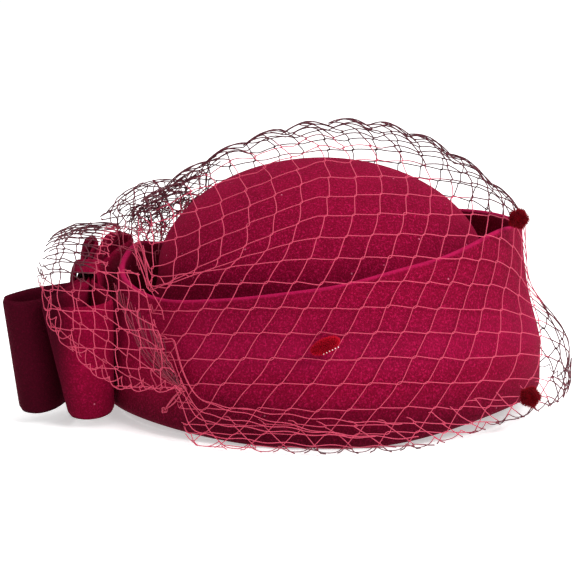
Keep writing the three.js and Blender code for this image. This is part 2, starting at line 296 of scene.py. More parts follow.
def new_mesh(name: str, points: Array, corners: Array, starts: Array, uv: Array | None = None) -> Any:
    """Put vertices and polygons into a new object, smooth shaded.

    Args:
        name: The object's name.
        points: Vertices in metres, one row each.
        corners: Vertex indices of all polygons, one after another.
        starts: Where each polygon starts in corners.
        uv: A row of two for each corner, or None.

    Returns:
        The object, linked to the scene.
    """
    mesh = bpy.data.meshes.new(name)
    mesh.vertices.add(len(points))
    mesh.vertices.foreach_set("co", np.ascontiguousarray(points, np.float32).ravel())
    mesh.loops.add(len(corners))
    mesh.loops.foreach_set("vertex_index", np.ascontiguousarray(corners, np.int32))
    mesh.polygons.add(len(starts))
    mesh.polygons.foreach_set("loop_start", np.ascontiguousarray(starts, np.int32))
    if uv is not None:
        layer = mesh.uv_layers.new(name="along")
        layer.data.foreach_set("uv", np.ascontiguousarray(uv, np.float32).ravel())
    mesh.update(calc_edges=True)
    mesh.validate()
    mesh.polygons.foreach_set("use_smooth", np.ones(len(starts), bool))
    item = bpy.data.objects.new(name, mesh)
    bpy.context.scene.collection.objects.link(item)
    return item


def ring_quads(joins: int, rings: int, sides: int, start: int = 0) -> tuple[Array, Array, Array]:
    """Quads between rings of vertices that are numbered ring by ring.

    Args:
        joins: How many pairs of neighbouring rings to join, the last ring to the first if it's all.
        rings: The number of rings.
        sides: The number of vertices round a ring.
        start: The first vertex's number.

    Returns:
        Four vertex numbers for each quad, and its ring and its place round the ring.
    """
    r, s = np.meshgrid(np.arange(joins), np.arange(sides), indexing="ij")
    r, s = r.ravel(), s.ravel()
    lower, upper = start + r * sides, start + (r + 1) % rings * sides
    beside = (s + 1) % sides
    return np.stack([lower + s, lower + beside, upper + beside, upper + s], axis=1), r, s


def end_fans(rings: int, sides: int, start: int, pole: int) -> Array:
    """Triangles that close the first ring on vertex pole and the last ring on the vertex after it."""
    side = np.arange(sides)
    after = (side + 1) % sides
    last = start + (rings - 1) * sides
    first = np.stack([np.full(sides, pole), start + after, start + side], axis=1)
    final = np.stack([np.full(sides, pole + 1), last + side, last + after], axis=1)
    return np.vstack([first, final])


def set_tone(item: Any, tones: Array) -> None:
    """Keep a number for each vertex as the attribute "tone"."""
    attribute = item.data.attributes.new("tone", "FLOAT", "POINT")
    attribute.data.foreach_set("value", tones.astype(np.float32))


def closed_grid(name: str, rings: Array, place: HatFrame, poles: Array | None = None) -> Any:
    """Skin rings of points into one closed surface with its faces outwards.

    Args:
        name: The object's name.
        rings: Ring, place round the ring, coordinate; each ring closes on itself.
        place: Carries the points into the frame.
        poles: The two points that close the first and the last ring, or None where the last ring joins
            the first.

    Returns:
        The object. Its UV map runs round each ring in u and from ring to ring in v.
    """
    ring_count, side_count, _ = rings.shape
    joins = ring_count if poles is None else ring_count - 1
    quads, r, s = ring_quads(joins, ring_count, side_count)
    points = rings.reshape(-1, 3)
    u = np.stack([s, s + 1, s + 1, s], axis=1) / side_count
    v = np.stack([r, r, r + 1, r + 1], axis=1) / joins
    caps = np.zeros((0, 3), int)
    cap_uv = np.zeros((0, 3, 2))
    if poles is not None:
        side = np.arange(side_count)
        caps = end_fans(ring_count, side_count, 0, len(points))
        points = np.vstack([points, poles])
        round_uv = np.stack([side + 0.5, side + 1.0, side + 0.0], axis=1) / side_count
        cap_uv = np.zeros((2 * side_count, 3, 2))
        cap_uv[:, :, 0] = np.vstack([round_uv, round_uv])
        cap_uv[side_count:, :, 1] = 1.0
    triangles = np.vstack([quads[:, [0, 1, 2]], quads[:, [0, 2, 3]], caps])
    quad_uv = np.stack([u, v], axis=-1)
    if enclosed(points, triangles) < 0:
        quads, caps = quads[:, ::-1], caps[:, ::-1]
        quad_uv, cap_uv = quad_uv[:, ::-1], cap_uv[:, ::-1]
    corners = np.concatenate([quads.ravel(), caps.ravel()])
    starts = np.concatenate([np.arange(len(quads)) * 4, len(quads) * 4 + np.arange(len(caps)) * 3])
    uv = np.concatenate([quad_uv.reshape(-1, 2), cap_uv.reshape(-1, 2)])
    return new_mesh(name, place.to_metres(points), corners, starts, uv)


@dataclass
class TubeBatch:
    """Many thin tubes gathered into one mesh."""

    radius: float
    sides: int = 5
    points: list[Array] = field(default_factory=list)
    quads: list[Array] = field(default_factory=list)
    caps: list[Array] = field(default_factory=list)
    uvs: list[Array] = field(default_factory=list)
    tones: list[Array] = field(default_factory=list)
    count: int = 0

    def add(self, line: Array, outward: Array, tone: Array | float, swell: Array | float = 1.0) -> None:
        """Sweep a round section along a line.

        The section's axes are the line's own direction crossed with outward, and both of these crossed
        again, so that no ring twists against the next. Each end closes to a point.

        Args:
            line: Points along the middle of the tube.
            outward: A direction at each point that is never along the tube.
            tone: A number from 0 to 1 at each point, kept as the vertex attribute "tone".
            swell: Times the batch's radius, one number or one at each point.
        """
        if len(line) < 3:
            return
        along = unit(np.gradient(line, axis=0), 1e-9)
        side = unit(np.cross(along, outward), 1e-9)
        up = np.cross(side, along)
        turn = np.arange(self.sides) * 2 * math.pi / self.sides
        ring = np.cos(turn)[None, :, None] * side[:, None] + np.sin(turn)[None, :, None] * up[:, None]
        body = line[:, None] + ring * np.broadcast_to(self.radius * swell, len(line))[:, None, None]
        rows = len(line)
        quads, r, s = ring_quads(rows - 1, rows, self.sides, self.count)
        self.quads.append(quads)
        length = running_length(line)
        u = np.stack([s, s + 1, s + 1, s], axis=1) / self.sides
        v = np.stack([length[r], length[r], length[r + 1], length[r + 1]], axis=1)
        self.uvs.append(np.stack([u, v], axis=-1))
        self.caps.append(end_fans(rows, self.sides, self.count, self.count + rows * self.sides))
        self.points.append(np.vstack([body.reshape(-1, 3), line[:1], line[-1:]]))
        tone = np.broadcast_to(tone, (rows,))
        self.tones.append(np.concatenate([np.repeat(tone, self.sides), tone[:1], tone[-1:]]))
        self.count += rows * self.sides + 2

    def make(self, name: str, place: HatFrame) -> Any:
        """Put every tube into one object."""
        quads, caps = np.vstack(self.quads), np.vstack(self.caps)
        points = np.vstack(self.points)
        sample = np.vstack([quads[:, [0, 1, 2]], quads[:, [0, 2, 3]], caps])
        uv = np.vstack(self.uvs)
        if enclosed(points, sample) < 0:
            quads, caps, uv = quads[:, ::-1], caps[:, ::-1], uv[:, ::-1]
        corners = np.concatenate([quads.ravel(), caps.ravel()])
        starts = np.concatenate([np.arange(len(quads)) * 4, len(quads) * 4 + np.arange(len(caps)) * 3])
        flat_uv = np.concatenate([uv.reshape(-1, 2), np.zeros((caps.size, 2))])
        item = new_mesh(name, place.to_metres(points), corners, starts, flat_uv)
        set_tone(item, np.concatenate(self.tones))
        return item


# ---- Shader maths ------------------------------------------------------------------------------------


@dataclass(frozen=True)
class Signal:
    """A shader socket that takes part in Python expressions; each operator adds one Math node."""

    bench: "FinishBench"
    socket: Any

    def _math(self, operation: str, first: Any, second: Any) -> "Signal":
        """One Math node on two values."""
        return self.bench.node("ShaderNodeMath", {"operation": operation}, {0: first, 1: second})

    def __add__(self, other: Any) -> "Signal":
        """Sum."""
        return self._math("ADD", self, other)

    __radd__ = __add__

    def __sub__(self, other: Any) -> "Signal":
        """Difference."""
        return self._math("SUBTRACT", self, other)

    def __rsub__(self, other: Any) -> "Signal":
        """Difference, reflected."""
        return self._math("SUBTRACT", other, self)

    def __mul__(self, other: Any) -> "Signal":
        """Product."""
        return self._math("MULTIPLY", self, other)

    __rmul__ = __mul__


@dataclass
class FinishBench:
    """One material's node tree and the few ways in which nodes are added to it."""

    material: Any

    @classmethod
    def start(cls, name: str) -> "FinishBench":
        """A new material with only its Principled shader and output left on it."""
        material = bpy.data.materials.new(name)
        material.use_nodes = True
        return cls(material)

    @property
    def shader(self) -> Any:
        """The Principled shader."""
        return self.material.node_tree.nodes["Principled BSDF"]

    def node(self, kind: str, settings: dict | None = None, inputs: dict | None = None,
             output: int | str = 0) -> Signal:
        """Add a node.

        Args:
            kind: The node's type.
            settings: Its own properties, set first.
            inputs: Values or signals for its sockets, by name or number.
            output: Which output to hand back.

        Returns:
            The output as a signal.
        """
        added = self.material.node_tree.nodes.new(kind)
        for key, value in (settings or {}).items():
            setattr(added, key, value)
        for key, value in (inputs or {}).items():
            self.feed(added.inputs[key], value)
        return Signal(self, added.outputs[output])

    def feed(self, socket: Any, value: Any) -> None:
        """Link a signal to a socket, or set a plain value on it."""
        if isinstance(value, Signal):
            self.material.node_tree.links.new(value.socket, socket)
        else:
            socket.default_value = value

    def place(self) -> Signal:
        """Object coordinates."""
        return self.node("ShaderNodeTexCoord", output="Object")

    def noise(self, scale: float, detail: float = 3.0, roughness: float = 0.55,
              vector: Signal | None = None) -> Signal:
        """Noise from 0 to 1, scale features to the metre."""
        values = {"Vector": vector or self.place(), "Scale": scale, "Detail": detail,
                  "Roughness": roughness}
        return self.node("ShaderNodeTexNoise", None, values)

    def ramp(self, signal: Signal, low: float, high: float) -> Signal:
        """A smooth ramp from 0 at low to 1 at high."""
        settings = {"interpolation_type": "SMOOTHSTEP"}
        return self.node("ShaderNodeMapRange", settings, {0: signal, 1: low, 2: high, 3: 0.0, 4: 1.0})

    def mix(self, share: Any, first: Any, second: Any) -> Signal:
        """Mix two colours."""
        return self.node("ShaderNodeMix", {"data_type": "RGBA"}, {0: share, 6: first, 7: second}, 2)

    def part(self, vector: Signal, axis: str) -> Signal:
        """One coordinate, "X", "Y" or "Z", of a vector."""
        return self.node("ShaderNodeSeparateXYZ", None, {"Vector": vector}, axis)

    def bump(self, height: Signal, distance: float, strength: float = 1.0) -> None:
        """Feed a height into the shader's normal."""
        values = {"Height": height, "Distance": distance, "Strength": strength}
        self.feed(self.shader.inputs["Normal"], self.node("ShaderNodeBump", None, values))

    def constants(self, **values: Any) -> None:
        """Set numbers and colours on the shader's own sockets; underscores stand for spaces."""
        for key, value in values.items():
            self.shader.inputs[key.replace("_", " ")].default_value = value


def tint(red: float, green: float, blue: float) -> tuple[float, float, float, float]:
    """A linear colour from display values of 0 to 255: the standard display curve, undone."""
    straight = [c / 255 for c in (red, green, blue)]
    linear = [c / 12.92 if c <= 0.04045 else ((c + 0.055) / 1.055) ** 2.4 for c in straight]
    return (*linear, 1.0)


@dataclass(frozen=True)
class FeltFinish:
    """Matt wool felt: a mottled ground, a fine fibrous speckle, a few lint specks and a short nap, with
    painted shade low down and at the back, and a painted highlight on faces turned upwards.
    """

    name: str
    ground: tuple[float, float, float, float]
    deep: tuple[float, float, float, float]
    nap: tuple[float, float, float, float]
    low_painted_shade: float = 0.72
    back_painted_shade: float = 0.0
    upward_painted_highlight: float = 0.0

    def make(self) -> Any:
        """Build the material.

        Returns:
            The material.
        """
        bench = FinishBench.start(self.name)
        place = bench.place()
        blotch = bench.noise(28.0, 4.0, 0.5, place)
        fibre = bench.noise(1500.0, 3.0, 0.7, place)
        grain = bench.noise(1050.0, 3.0, 0.7, place)
        colour = bench.mix(0.55 + bench.ramp(blotch, 0.3, 0.7) * 0.45, self.deep, self.ground)
        colour = bench.mix(bench.ramp(grain, 0.47, 0.66) * 0.75, colour, self.nap)
        colour = bench.mix(bench.ramp(fibre, 0.56, 0.38) * 0.62, colour, self.deep)
        lint = bench.node("ShaderNodeTexVoronoi", None, {"Vector": place, "Scale": 95.0}, "Distance")
        speck = bench.ramp(lint, 0.052, 0.03)
        colour = bench.mix(speck * 0.55, colour, tint(222, 120, 150))
        # Painted highlight: faces that turn upwards, such as the cuff's rolled top edge, are lightened
        # towards a pale rose.
        if self.upward_painted_highlight:
            facing = bench.node("ShaderNodeNewGeometry", output="Normal")
            upward = bench.part(facing, "Z")
            colour = bench.mix(bench.ramp(upward, 0.05, 0.8) * self.upward_painted_highlight, colour, tint(190, 26, 88))
        # Painted shade: the felt darkens towards near black towards the bottom, from 30 mm of height down to
        # 2 mm.
        height = bench.part(place, "Z")
        colour = bench.mix(bench.ramp(height, 0.030, 0.002) * self.low_painted_shade, colour, tint(34, 0, 8))
        # Painted shade: the bow's far end, beyond about -94 mm in X, is darkened as if turned away from the
        # key light.
        if self.back_painted_shade:
            behind = bench.part(place, "X")
            colour = bench.mix(bench.ramp(behind, -0.094, -0.108) * self.back_painted_shade, colour, tint(30, 0, 8))
        bench.feed(bench.shader.inputs["Base Color"], colour)
        bench.feed(bench.shader.inputs["Roughness"], 0.84 + grain * 0.14)
        bench.bump(grain * 0.65 + fibre * 0.35, 0.0007, 0.55)
        bench.constants(Sheen_Weight=0.22, Sheen_Roughness=0.45, Sheen_Tint=self.nap,
                        Specular_IOR_Level=0.06)
        return bench.material


@dataclass(frozen=True)
class ThreadFinish:
    """Fine twisted thread: a bright face and a dark painted-shade face by the vertex attribute tone, with
    ply stripes.
    """

    name: str
    bright: tuple[float, float, float, float]
    deep: tuple[float, float, float, float]

    def make(self) -> Any:
        """Build the material.

        Returns:
            The material.
        """
        bench = FinishBench.start(self.name)
        tone = bench.node("ShaderNodeAttribute", {"attribute_name": "tone"}, None, "Fac")
        uv = bench.node("ShaderNodeUVMap", {"uv_map": "along"})
        twist = bench.node("ShaderNodeMapping", None, {"Vector": uv, "Scale": (1.0, 0.9, 1.0)})
        ply = bench.node("ShaderNodeTexWave", {"bands_direction": "DIAGONAL"},
                         {"Vector": twist, "Scale": 1.0, "Distortion": 0.4})
        uneven = bench.noise(420.0)
        # The vertex attribute tone blends the bright colour towards the dark one, which is painted shade.
        colour = bench.mix(tone, self.bright, self.deep)
        colour = bench.mix(bench.ramp(ply, 0.1, 0.9) * 0.25 + uneven * 0.15, colour, self.deep)
        bench.feed(bench.shader.inputs["Base Color"], colour)
        bench.feed(bench.shader.inputs["Roughness"], 0.5 + uneven * 0.25)
        bench.bump(ply, 0.00008, 0.4)
        bench.constants(Sheen_Weight=0.3, Sheen_Tint=self.bright, Specular_IOR_Level=0.4)
        return bench.material


@dataclass(frozen=True)
class ChenilleFinish:
    """Dense cut pile: bright tips over painted shade towards the roots and core, the tips uneven from tuft
    to tuft.
    """

    name: str
    tips: tuple[float, float, float, float]
    shaded_roots: tuple[float, float, float, float]

    def make(self) -> Any:
        """Build the material.

        Returns:
            The material.
        """
        bench = FinishBench.start(self.name)
        tone = bench.node("ShaderNodeAttribute", {"attribute_name": "tone"}, None, "Fac")
        uneven = bench.noise(900.0, 3.0)
        # Painted shade: the pile darkens from its tips down to its roots and core; the tips' own tone
        # differs at random.
        colour = bench.mix(tone * 0.8 + uneven * 0.2, self.shaded_roots, self.tips)
        bench.feed(bench.shader.inputs["Base Color"], colour)
        bench.feed(bench.shader.inputs["Roughness"], 0.6 + uneven * 0.3)
        bench.bump(uneven, 0.0002, 0.5)
        bench.constants(Sheen_Weight=0.15, Sheen_Roughness=0.4, Sheen_Tint=self.tips, Specular_IOR_Level=0.1)
        return bench.material


@dataclass(frozen=True)
class PlainFinish:
    """A plain surface with a faint mottle, for the floor and for small beads."""

    name: str
    colour: tuple[float, float, float, float]
    roughness: float
    glow: float = 0.0

    def make(self) -> Any:
        """Build the material.

        Returns:
            The material.
        """
        bench = FinishBench.start(self.name)
        mottle = bench.noise(14.0, 2.0)
        colour = bench.mix(mottle * 0.06, self.colour, tint(200, 196, 196))
        bench.feed(bench.shader.inputs["Base Color"], colour)
        bench.feed(bench.shader.inputs["Roughness"], self.roughness + mottle * 0.05)
        bench.bump(mottle, 0.0002, 0.2)
        if self.glow:
            bench.constants(Emission_Color=self.colour, Emission_Strength=self.glow)
        return bench.material


class Finish(Enum):
    """The hat's finishes."""

    CROWN = FeltFinish("wool_crown", tint(129, 2, 41), tint(88, 0, 25), tint(180, 19, 76))
    # The cuff carries a painted highlight on the faces that turn upwards.
    CUFF = FeltFinish("wool_cuff", tint(123, 2, 38), tint(82, 0, 23), tint(178, 19, 74), upward_painted_highlight=0.5)
    # The bow's last two numbers are how strong its painted shade is low down and at its far end.
    BOW = FeltFinish("wool_bow", tint(136, 3, 45), tint(98, 1, 30), tint(168, 12, 67), 0.3, 0.85)
    # The net's second colour is painted shade, for thread that stands clear of the felt.
    NET = ThreadFinish("net_thread", tint(212, 64, 98), tint(66, 6, 25))
    # Each chenille's second colour is painted shade at the roots of its pile.
    DOT = ChenilleFinish("chenille_red", tint(226, 2, 42), tint(120, 0, 22))
    DEEP_DOT = ChenilleFinish("chenille_deep", tint(168, 0, 24), tint(70, 0, 10))
    BEAD = PlainFinish("bead_white", tint(226, 206, 208), 0.35)
    FLOOR = PlainFinish("pale_floor", tint(252, 252, 252), 0.8, 0.47)

    def dress(self, item: Any) -> None:
        """Give an object this finish as its only material, made once and shared."""
        made = bpy.data.materials.get(self.value.name) or self.value.make()
        item.data.materials.clear()
        item.data.materials.append(made)


def hand_over(item: Any, finish: Finish, slot: str, *nodes: str) -> None:
    """Dress a piece, ride it on the body and hide the nodes that it stands for."""
    finish.dress(item)
    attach(item, BODY)
    if nodes:
        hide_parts(*nodes)
    LOG.info("%s: %d faces", item.name, len(item.data.polygons))


# ---- Felt body ---------------------------------------------------------------------------------------


def hand_blocked(points: Array, depth: float) -> Array:
    """The slight unevenness of felt shaped by hand: three long waves laid over each other.

    Args:
        points: Places on the felt in millimetres.
        depth: Height of the waves.

    Returns:
        How far each place stands out, in millimetres.
    """
    x, y, z = (points[..., k] for k in range(3))
    waves = np.sin(0.045 * x + 0.031 * z + 1.3) * np.cos(0.05 * y - 0.037 * z + 0.4)
    waves = waves + 0.6 * np.sin(0.11 * x - 0.08 * y + 0.07 * z) + 0.35 * np.cos(0.19 * x + 0.13 * z - 2.0)
    return depth * waves / 1.95


@dataclass
class FeltBody:
    """The crown and the cuff that is turned up round it."""

    form: HatForm
    sides: int = 288
    gap: float = 0.4
    dome_base: float = 64.0
    dome_rise: float = 52.5
    dome_length: float = 77.0
    dome_ratio: float = 0.88
    skirt_power: float = 1.3
    edge_width: float = 3.2

    def crown_wall(self, inset: float, dome_rings: int, skirt_rings: int) -> Array:
        """One face of the crown, from just under its apex to its foot.

        The dome is a quarter ellipse turned round the oval. Under it the skirt widens to the foot by a
        power of the way down, while its oval grows a little rounder.
        """
        angle = np.linspace(0, FULL_TURN, self.sides, endpoint=False)
        foot_inset = self.form.foot_radius + self.form.foot_flat + self.gap
        foot_length = self.form.place.half_length - foot_inset
        foot_ratio = (self.form.place.half_width - foot_inset) / foot_length
        climb = np.linspace(math.radians(2.0), math.pi / 2, dome_rings)[:, None]
        down = np.linspace(0, 1, skirt_rings + 1)[1:, None]
        dome_out = self.dome_length * np.sin(climb) + inset * (1 - np.sin(climb))
        skirt_out = lerp(self.dome_length, foot_length, down**self.skirt_power)
        length = np.vstack([dome_out, skirt_out])
        ratio = np.vstack([np.full_like(climb, self.dome_ratio), lerp(self.dome_ratio, foot_ratio, down)])
        dome_z = self.dome_base + (self.dome_rise - inset) * np.cos(climb) + 0 * angle
        skirt_z = lerp(self.dome_base, self.form.foot_height(angle), down)
        x = (length - inset) * np.cos(angle)
        y = (length * ratio - inset) * np.sin(angle)
        rings = np.stack([x, y, np.vstack([dome_z, skirt_z])], axis=-1)
        out = unit(rings * IN_PLAN, 1e-6)
        fade = smoothstep(rings[..., 2], 30, 60)[..., None]
        return rings + out * hand_blocked(rings, 0.45)[..., None] * fade

    def build_crown(self) -> Any:
        """The crown: its outer face down, its inner face back up, closed at both apexes."""
        outer = self.crown_wall(0.0, 72, 44)
        inner = self.crown_wall(FELT_WALL, 40, 24)[::-1]
        top = self.dome_base + self.dome_rise
        poles = np.array([[0, 0, top], [0, 0, top - FELT_WALL]])
        return closed_grid("crown_felt", np.concatenate([outer, inner]), self.form.place, poles)

    def cuff_section(self, angle: Array) -> Array:
        """The cuff's closed section at each angle: foot, fold, outer wall, rolled edge, inner wall.

        Each point is an inset from the oval and a height. The fold is a quarter circle, the rolled edge
        half an ellipse, and the walls follow the lean.
        """
        form = self.form
        foot, top = form.foot_height(angle)[:, None], form.edge_height(angle)[:, None]
        lip = form.foot_radius + form.foot_flat
        turn = np.linspace(0, math.pi / 2, 9)[None, 1:-1]
        one = np.ones_like(foot)
        roll = 1.7
        outer_z = lerp(foot + form.foot_radius, top - roll, np.linspace(0, 1, 44)[None])
        over = np.linspace(0, math.pi, 13)[None, 1:-1]
        lean_top = form.wall_lean(top - roll)
        inner_z = lerp(top - roll, foot + form.foot_radius, np.linspace(0, 1, 26)[None])
        wide = smoothstep(top - roll - inner_z, 9.0, 0.0)
        inner_radius = form.foot_radius - FELT_WALL
        back = turn[:, ::-1]
        insets = [
            one * lip,
            form.foot_radius - form.foot_radius * np.sin(turn) + 0 * foot,
            form.wall_lean(outer_z),
            lean_top + self.edge_width / 2 * (1 - np.cos(over)),
            form.wall_lean(inner_z) + lerp(FELT_WALL, self.edge_width, wide),
            form.foot_radius - inner_radius * np.sin(back) + 0 * foot,
            one * lip,
        ]
        heights = [
            foot,
            foot + form.foot_radius * (1 - np.cos(turn)),
            outer_z,
            top - roll + roll * np.sin(over),
            inner_z,
            foot + FELT_WALL + inner_radius * (1 - np.cos(back)),
            foot + FELT_WALL,
        ]
        inset, z = np.concatenate(insets, axis=1), np.concatenate(heights, axis=1)
        section = form.on_oval(angle[:, None], inset, z)
        uneven = hand_blocked(section, 0.5) * smoothstep(z, 22, 40)
        return form.on_oval(angle[:, None], inset - np.minimum(uneven, 0.3), z)

    def build_cuff(self) -> Any:
        """The cuff, its sections set side by side all round the oval."""
        angle = np.linspace(0, FULL_TURN, self.sides, endpoint=False)
        return closed_grid("cuff_felt", self.cuff_section(angle), self.form.place)

    def build(self) -> None:
        """Make and dress both pieces."""
        hand_over(self.build_crown(), Finish.CROWN, "body_felt", "crown")
        hand_over(self.build_cuff(), Finish.CUFF, "body_felt", "cuff")


# ---- Bow ---------------------------------------------------------------------------------------------

# A ribbon's rows: x and y of its middle line from the waist, and how far its top leans out there.
OUTER_RIBBON = np.array([
    (-3.7, 0, 0), (-3.7, -9, 0), (-6.5, -14, -1), (-13.5, -21, -3), (-23, -30, -5), (-30, -39, -7),
    (-28, -45, -7), (-21, -46.5, -6), (-13.5, -41, -4), (-8, -31, -2), (-4, -18, -1), (-1.25, -9, 0),
    (-1.25, 9, 0), (-1.1, 20, 0), (-0.4, 34, 0), (0.6, 46, 0), (-1.8, 51, 0), (-5, 47, 0),
    (-4.9, 34, 0), (-4.2, 20, 0), (-3.7, 9, 0),
])
INNER_RIBBON = np.array([
    (1.25, 0, 0), (1.25, -9, 0), (-0.5, -20, -2), (-3.5, -33, -5), (-8, -44, -10), (-9, -50, -12),
    (-3, -53.5, -9), (5, -53.5, -4), (11.5, -50, -1), (15, -43, 0), (13, -34, 0), (9.3, -23, 0),
    (3.7, -10, 0), (3.7, 0, 0), (3.7, 10, 0), (8.8, 23, 0), (12.5, 34, 0), (16.5, 44, 0), (17, 53, 0),
    (11, 58, 0), (5, 54, 0), (3, 38, 0), (1.6, 20, 0), (1.25, 9, 0),
])


@dataclass
class FeltBow:
    """Two looped felt ribbons held at the waist by a knot."""

    place: HatFrame
    waist: tuple[float, float, float] = (-111.0, 0.0, 38.0)
    ribbon_height: float = 52.0
    waist_height: float = 48.0
    slope: float = 0.15
    waist_half: float = 5.0
    waist_room: float = 2.4
    knot_width: float = 17.0
    knot_power: float = 8.0
    steps: int = 420

    def ribbon(self, name: str, rows: Array) -> tuple[Any, float]:
        """A closed felt strip that stands on edge along its plan rows and narrows at the waist.

        The section is a thin upright rectangle with rounded long edges, a superellipse of its own
        width and height, carried along the plan curve and leant by the rows' third column.

        Returns:
            The object and the strip's length in millimetres.
        """
        at = closed_curve(rows, np.arange(self.steps) / self.steps)
        ahead = closed_curve(rows, (np.arange(self.steps) + 0.5) / self.steps)[:, :2]
        behind = closed_curve(rows, (np.arange(self.steps) - 0.5) / self.steps)[:, :2]
        along = unit(ahead - behind)
        side = np.stack([along[:, 1], -along[:, 0]], axis=1)
        slack = smoothstep(np.abs(at[:, 1]), self.knot_width / 2 + 1, 30)
        height = lerp(self.waist_height, self.ribbon_height, slack)
        rise = np.linspace(-0.5, 0.5, 23)
        rise = rise + 0.03 * np.sin(2 * math.pi * rise)
        up = np.concatenate([rise, rise[::-1]])
        full = (1 - np.abs(2 * rise) ** 26) ** 0.5
        across = np.concatenate([full, -full[::-1]])
        out = across[None, :] * FELT_WALL / 2
        x = self.waist[0] + at[:, 0, None] + side[:, 0, None] * out + at[:, 2, None] * up
        y = self.waist[1] + at[:, 1, None] + side[:, 1, None] * out
        z = self.waist[2] + self.slope * at[:, 1, None] + height[:, None] * up
        length = float(running_length(at[:, :2])[-1])
        return closed_grid(name, np.stack([x, y, z], axis=-1), self.place), length

    def rounded(self, value: Array) -> Array:
        """A sine or cosine squared off to the knot's superellipse."""
        return np.sign(value) * np.abs(value) ** (2 / self.knot_power)

    def knot(self) -> tuple[Any, float]:
        """The band round the waist: a rounded rectangle in the X-Z plane, dished across its width.

        The path is a superellipse. Across its width the band is creased by three shallow folds.

        Returns:
            The object and the band's length in millimetres.
        """
        turn = np.arange(240) * FULL_TURN / 240
        reach_x = self.waist_half + 0.4
        reach_z = self.waist_height / 2 + self.waist_room
        across = np.linspace(-0.5, 0.5, 25)
        fold = 0.28 * np.cos(across * 6 * math.pi) * np.cos(across * math.pi)
        rim = (1 - np.abs(2 * across) ** 14) ** 0.5
        outer = FELT_WALL / 2 + FELT_WALL / 2 * rim + fold * rim
        inner = FELT_WALL / 2 - FELT_WALL / 2 * rim
        out = np.concatenate([outer, inner[::-1]])
        y = np.concatenate([across, across[::-1]]) * self.knot_width
        x = self.waist[0] + (reach_x + out[None]) * self.rounded(np.cos(turn))[:, None]
        z = self.waist[2] + self.slope * y + (reach_z + out[None]) * self.rounded(np.sin(turn))[:, None]
        rings = np.stack([x, np.broadcast_to(y, x.shape), z], axis=-1)
        length = 4 * (reach_x + reach_z + FELT_WALL)
        return closed_grid("bow_knot_felt", rings, self.place), length

    def build(self) -> None:
        """Make and dress the ribbons and the knot, each a strip of felt cut flat."""
        parts = [
            ("bow_ribbon_outer", self.ribbon_height, self.ribbon("bow_ribbon_outer_felt", OUTER_RIBBON)),
            ("bow_ribbon_inner", self.ribbon_height, self.ribbon("bow_ribbon_inner_felt", INNER_RIBBON)),
            ("bow_knot", self.knot_width, self.knot()),
        ]
        for node, width, (item, length) in parts:
            hand_over(item, Finish.BOW, "bow_felt", node)
            width * MM
            length * MM
            LOG.info("%s: cut %.0f x %.0f mm", node, width, length)


# ---- Net ---------------------------------------------------------------------------------------------


@dataclass(frozen=True)
class NetPattern:
    """Veil netting: stepped strands that interlock at each crossing and leave a small open ring there.

    A strand runs along a row, turns up a column, and so on. Where it turns it oversteps the crossing by
    ring millimetres, so it loops through the strand that turns the other way.
    """

    pitch: float = 12.9
    rise: float = 11.1
    ring: float = 0.6
    points_per_side: int = 7

    def strand(self, number: int, first: int, last: int) -> Array:
        """One strand in net coordinates, columns and rows counted in cells.

        Args:
            number: Which strand: its column less its row.
            first: The row where it starts.
            last: The row where it ends.

        Returns:
            Points along the strand as column and row.
        """
        rows = np.repeat(np.arange(first, last + 1), 2)
        right = np.tile([0.0, 1.0], last - first + 1)
        column = number + rows + right
        step = self.ring / self.pitch
        column = column + np.where(right > 0, step, -step)
        row = rows + np.where(right > 0, -step, step)
        corner = np.stack([column, row], axis=1)
        share = np.linspace(0.045, 0.955, self.points_per_side)[None, :, None]
        return lerp(corner[:-1, None], corner[1:, None], share).reshape(-1, 2)


@dataclass
class NetSheet:
    """A surface on which net is laid: a table of places by distance along it and up it."""

    along: Array
    up: Array
    table: Array
    low: Array
    high: Array
    back: float = -999.0

    @classmethod
    def laid(cls, along: Array, columns: Array, starts: Array, step: float = 0.8) -> "NetSheet":
        """Measure columns of points by their arc length and fill the table.

        Args:
            along: Distance along the sheet of each column.
            columns: Column, point up the column, coordinate.
            starts: Distance up the sheet at which each column starts.
            step: The table's spacing up the sheet.

        Returns:
            The sheet.
        """
        lengths = np.linalg.norm(np.diff(columns, axis=1), axis=2)
        height = np.concatenate([np.zeros((len(columns), 1)), np.cumsum(lengths, axis=1)], axis=1)
        height = height + starts[:, None]
        up = np.arange(height.min(), height.max() + step, step)
        table = np.stack([
            np.stack([np.interp(up, h, column[:, k]) for k in range(3)], axis=-1)
            for h, column in zip(height, columns)
        ])
        return cls(along, up, table, height[:, 0], height[:, -1])

    def limits(self, along: Array) -> tuple[Array, Array]:
        """The lowest and highest distance up the sheet at each distance along it."""
        return np.interp(along, self.along, self.low), np.interp(along, self.along, self.high)

    def at(self, along: Array, up: Array) -> Array:
        """Places on the sheet, read from the table by blending its four nearest entries."""
        i = (along - self.along[0]) / (self.along[1] - self.along[0])
        j = (up - self.up[0]) / (self.up[1] - self.up[0])
        i = np.clip(i, 0, len(self.along) - 1.001)
        j = np.clip(j, 0, len(self.up) - 1.001)
        i0, j0 = np.floor(i).astype(int), np.floor(j).astype(int)
        s, t = (i - i0)[:, None], (j - j0)[:, None]
        low = lerp(self.table[i0, j0], self.table[i0 + 1, j0], s)
        high = lerp(self.table[i0, j0 + 1], self.table[i0 + 1, j0 + 1], s)
        return lerp(low, high, t)


def runs_inside(inside: Array) -> list[tuple[int, int]]:
    """Stretches of True in a row of flags, as first and one past last."""
    edges = np.flatnonzero(np.diff(np.concatenate([[0], inside.astype(int), [0]])))
    return list(zip(edges[::2], edges[1::2]))


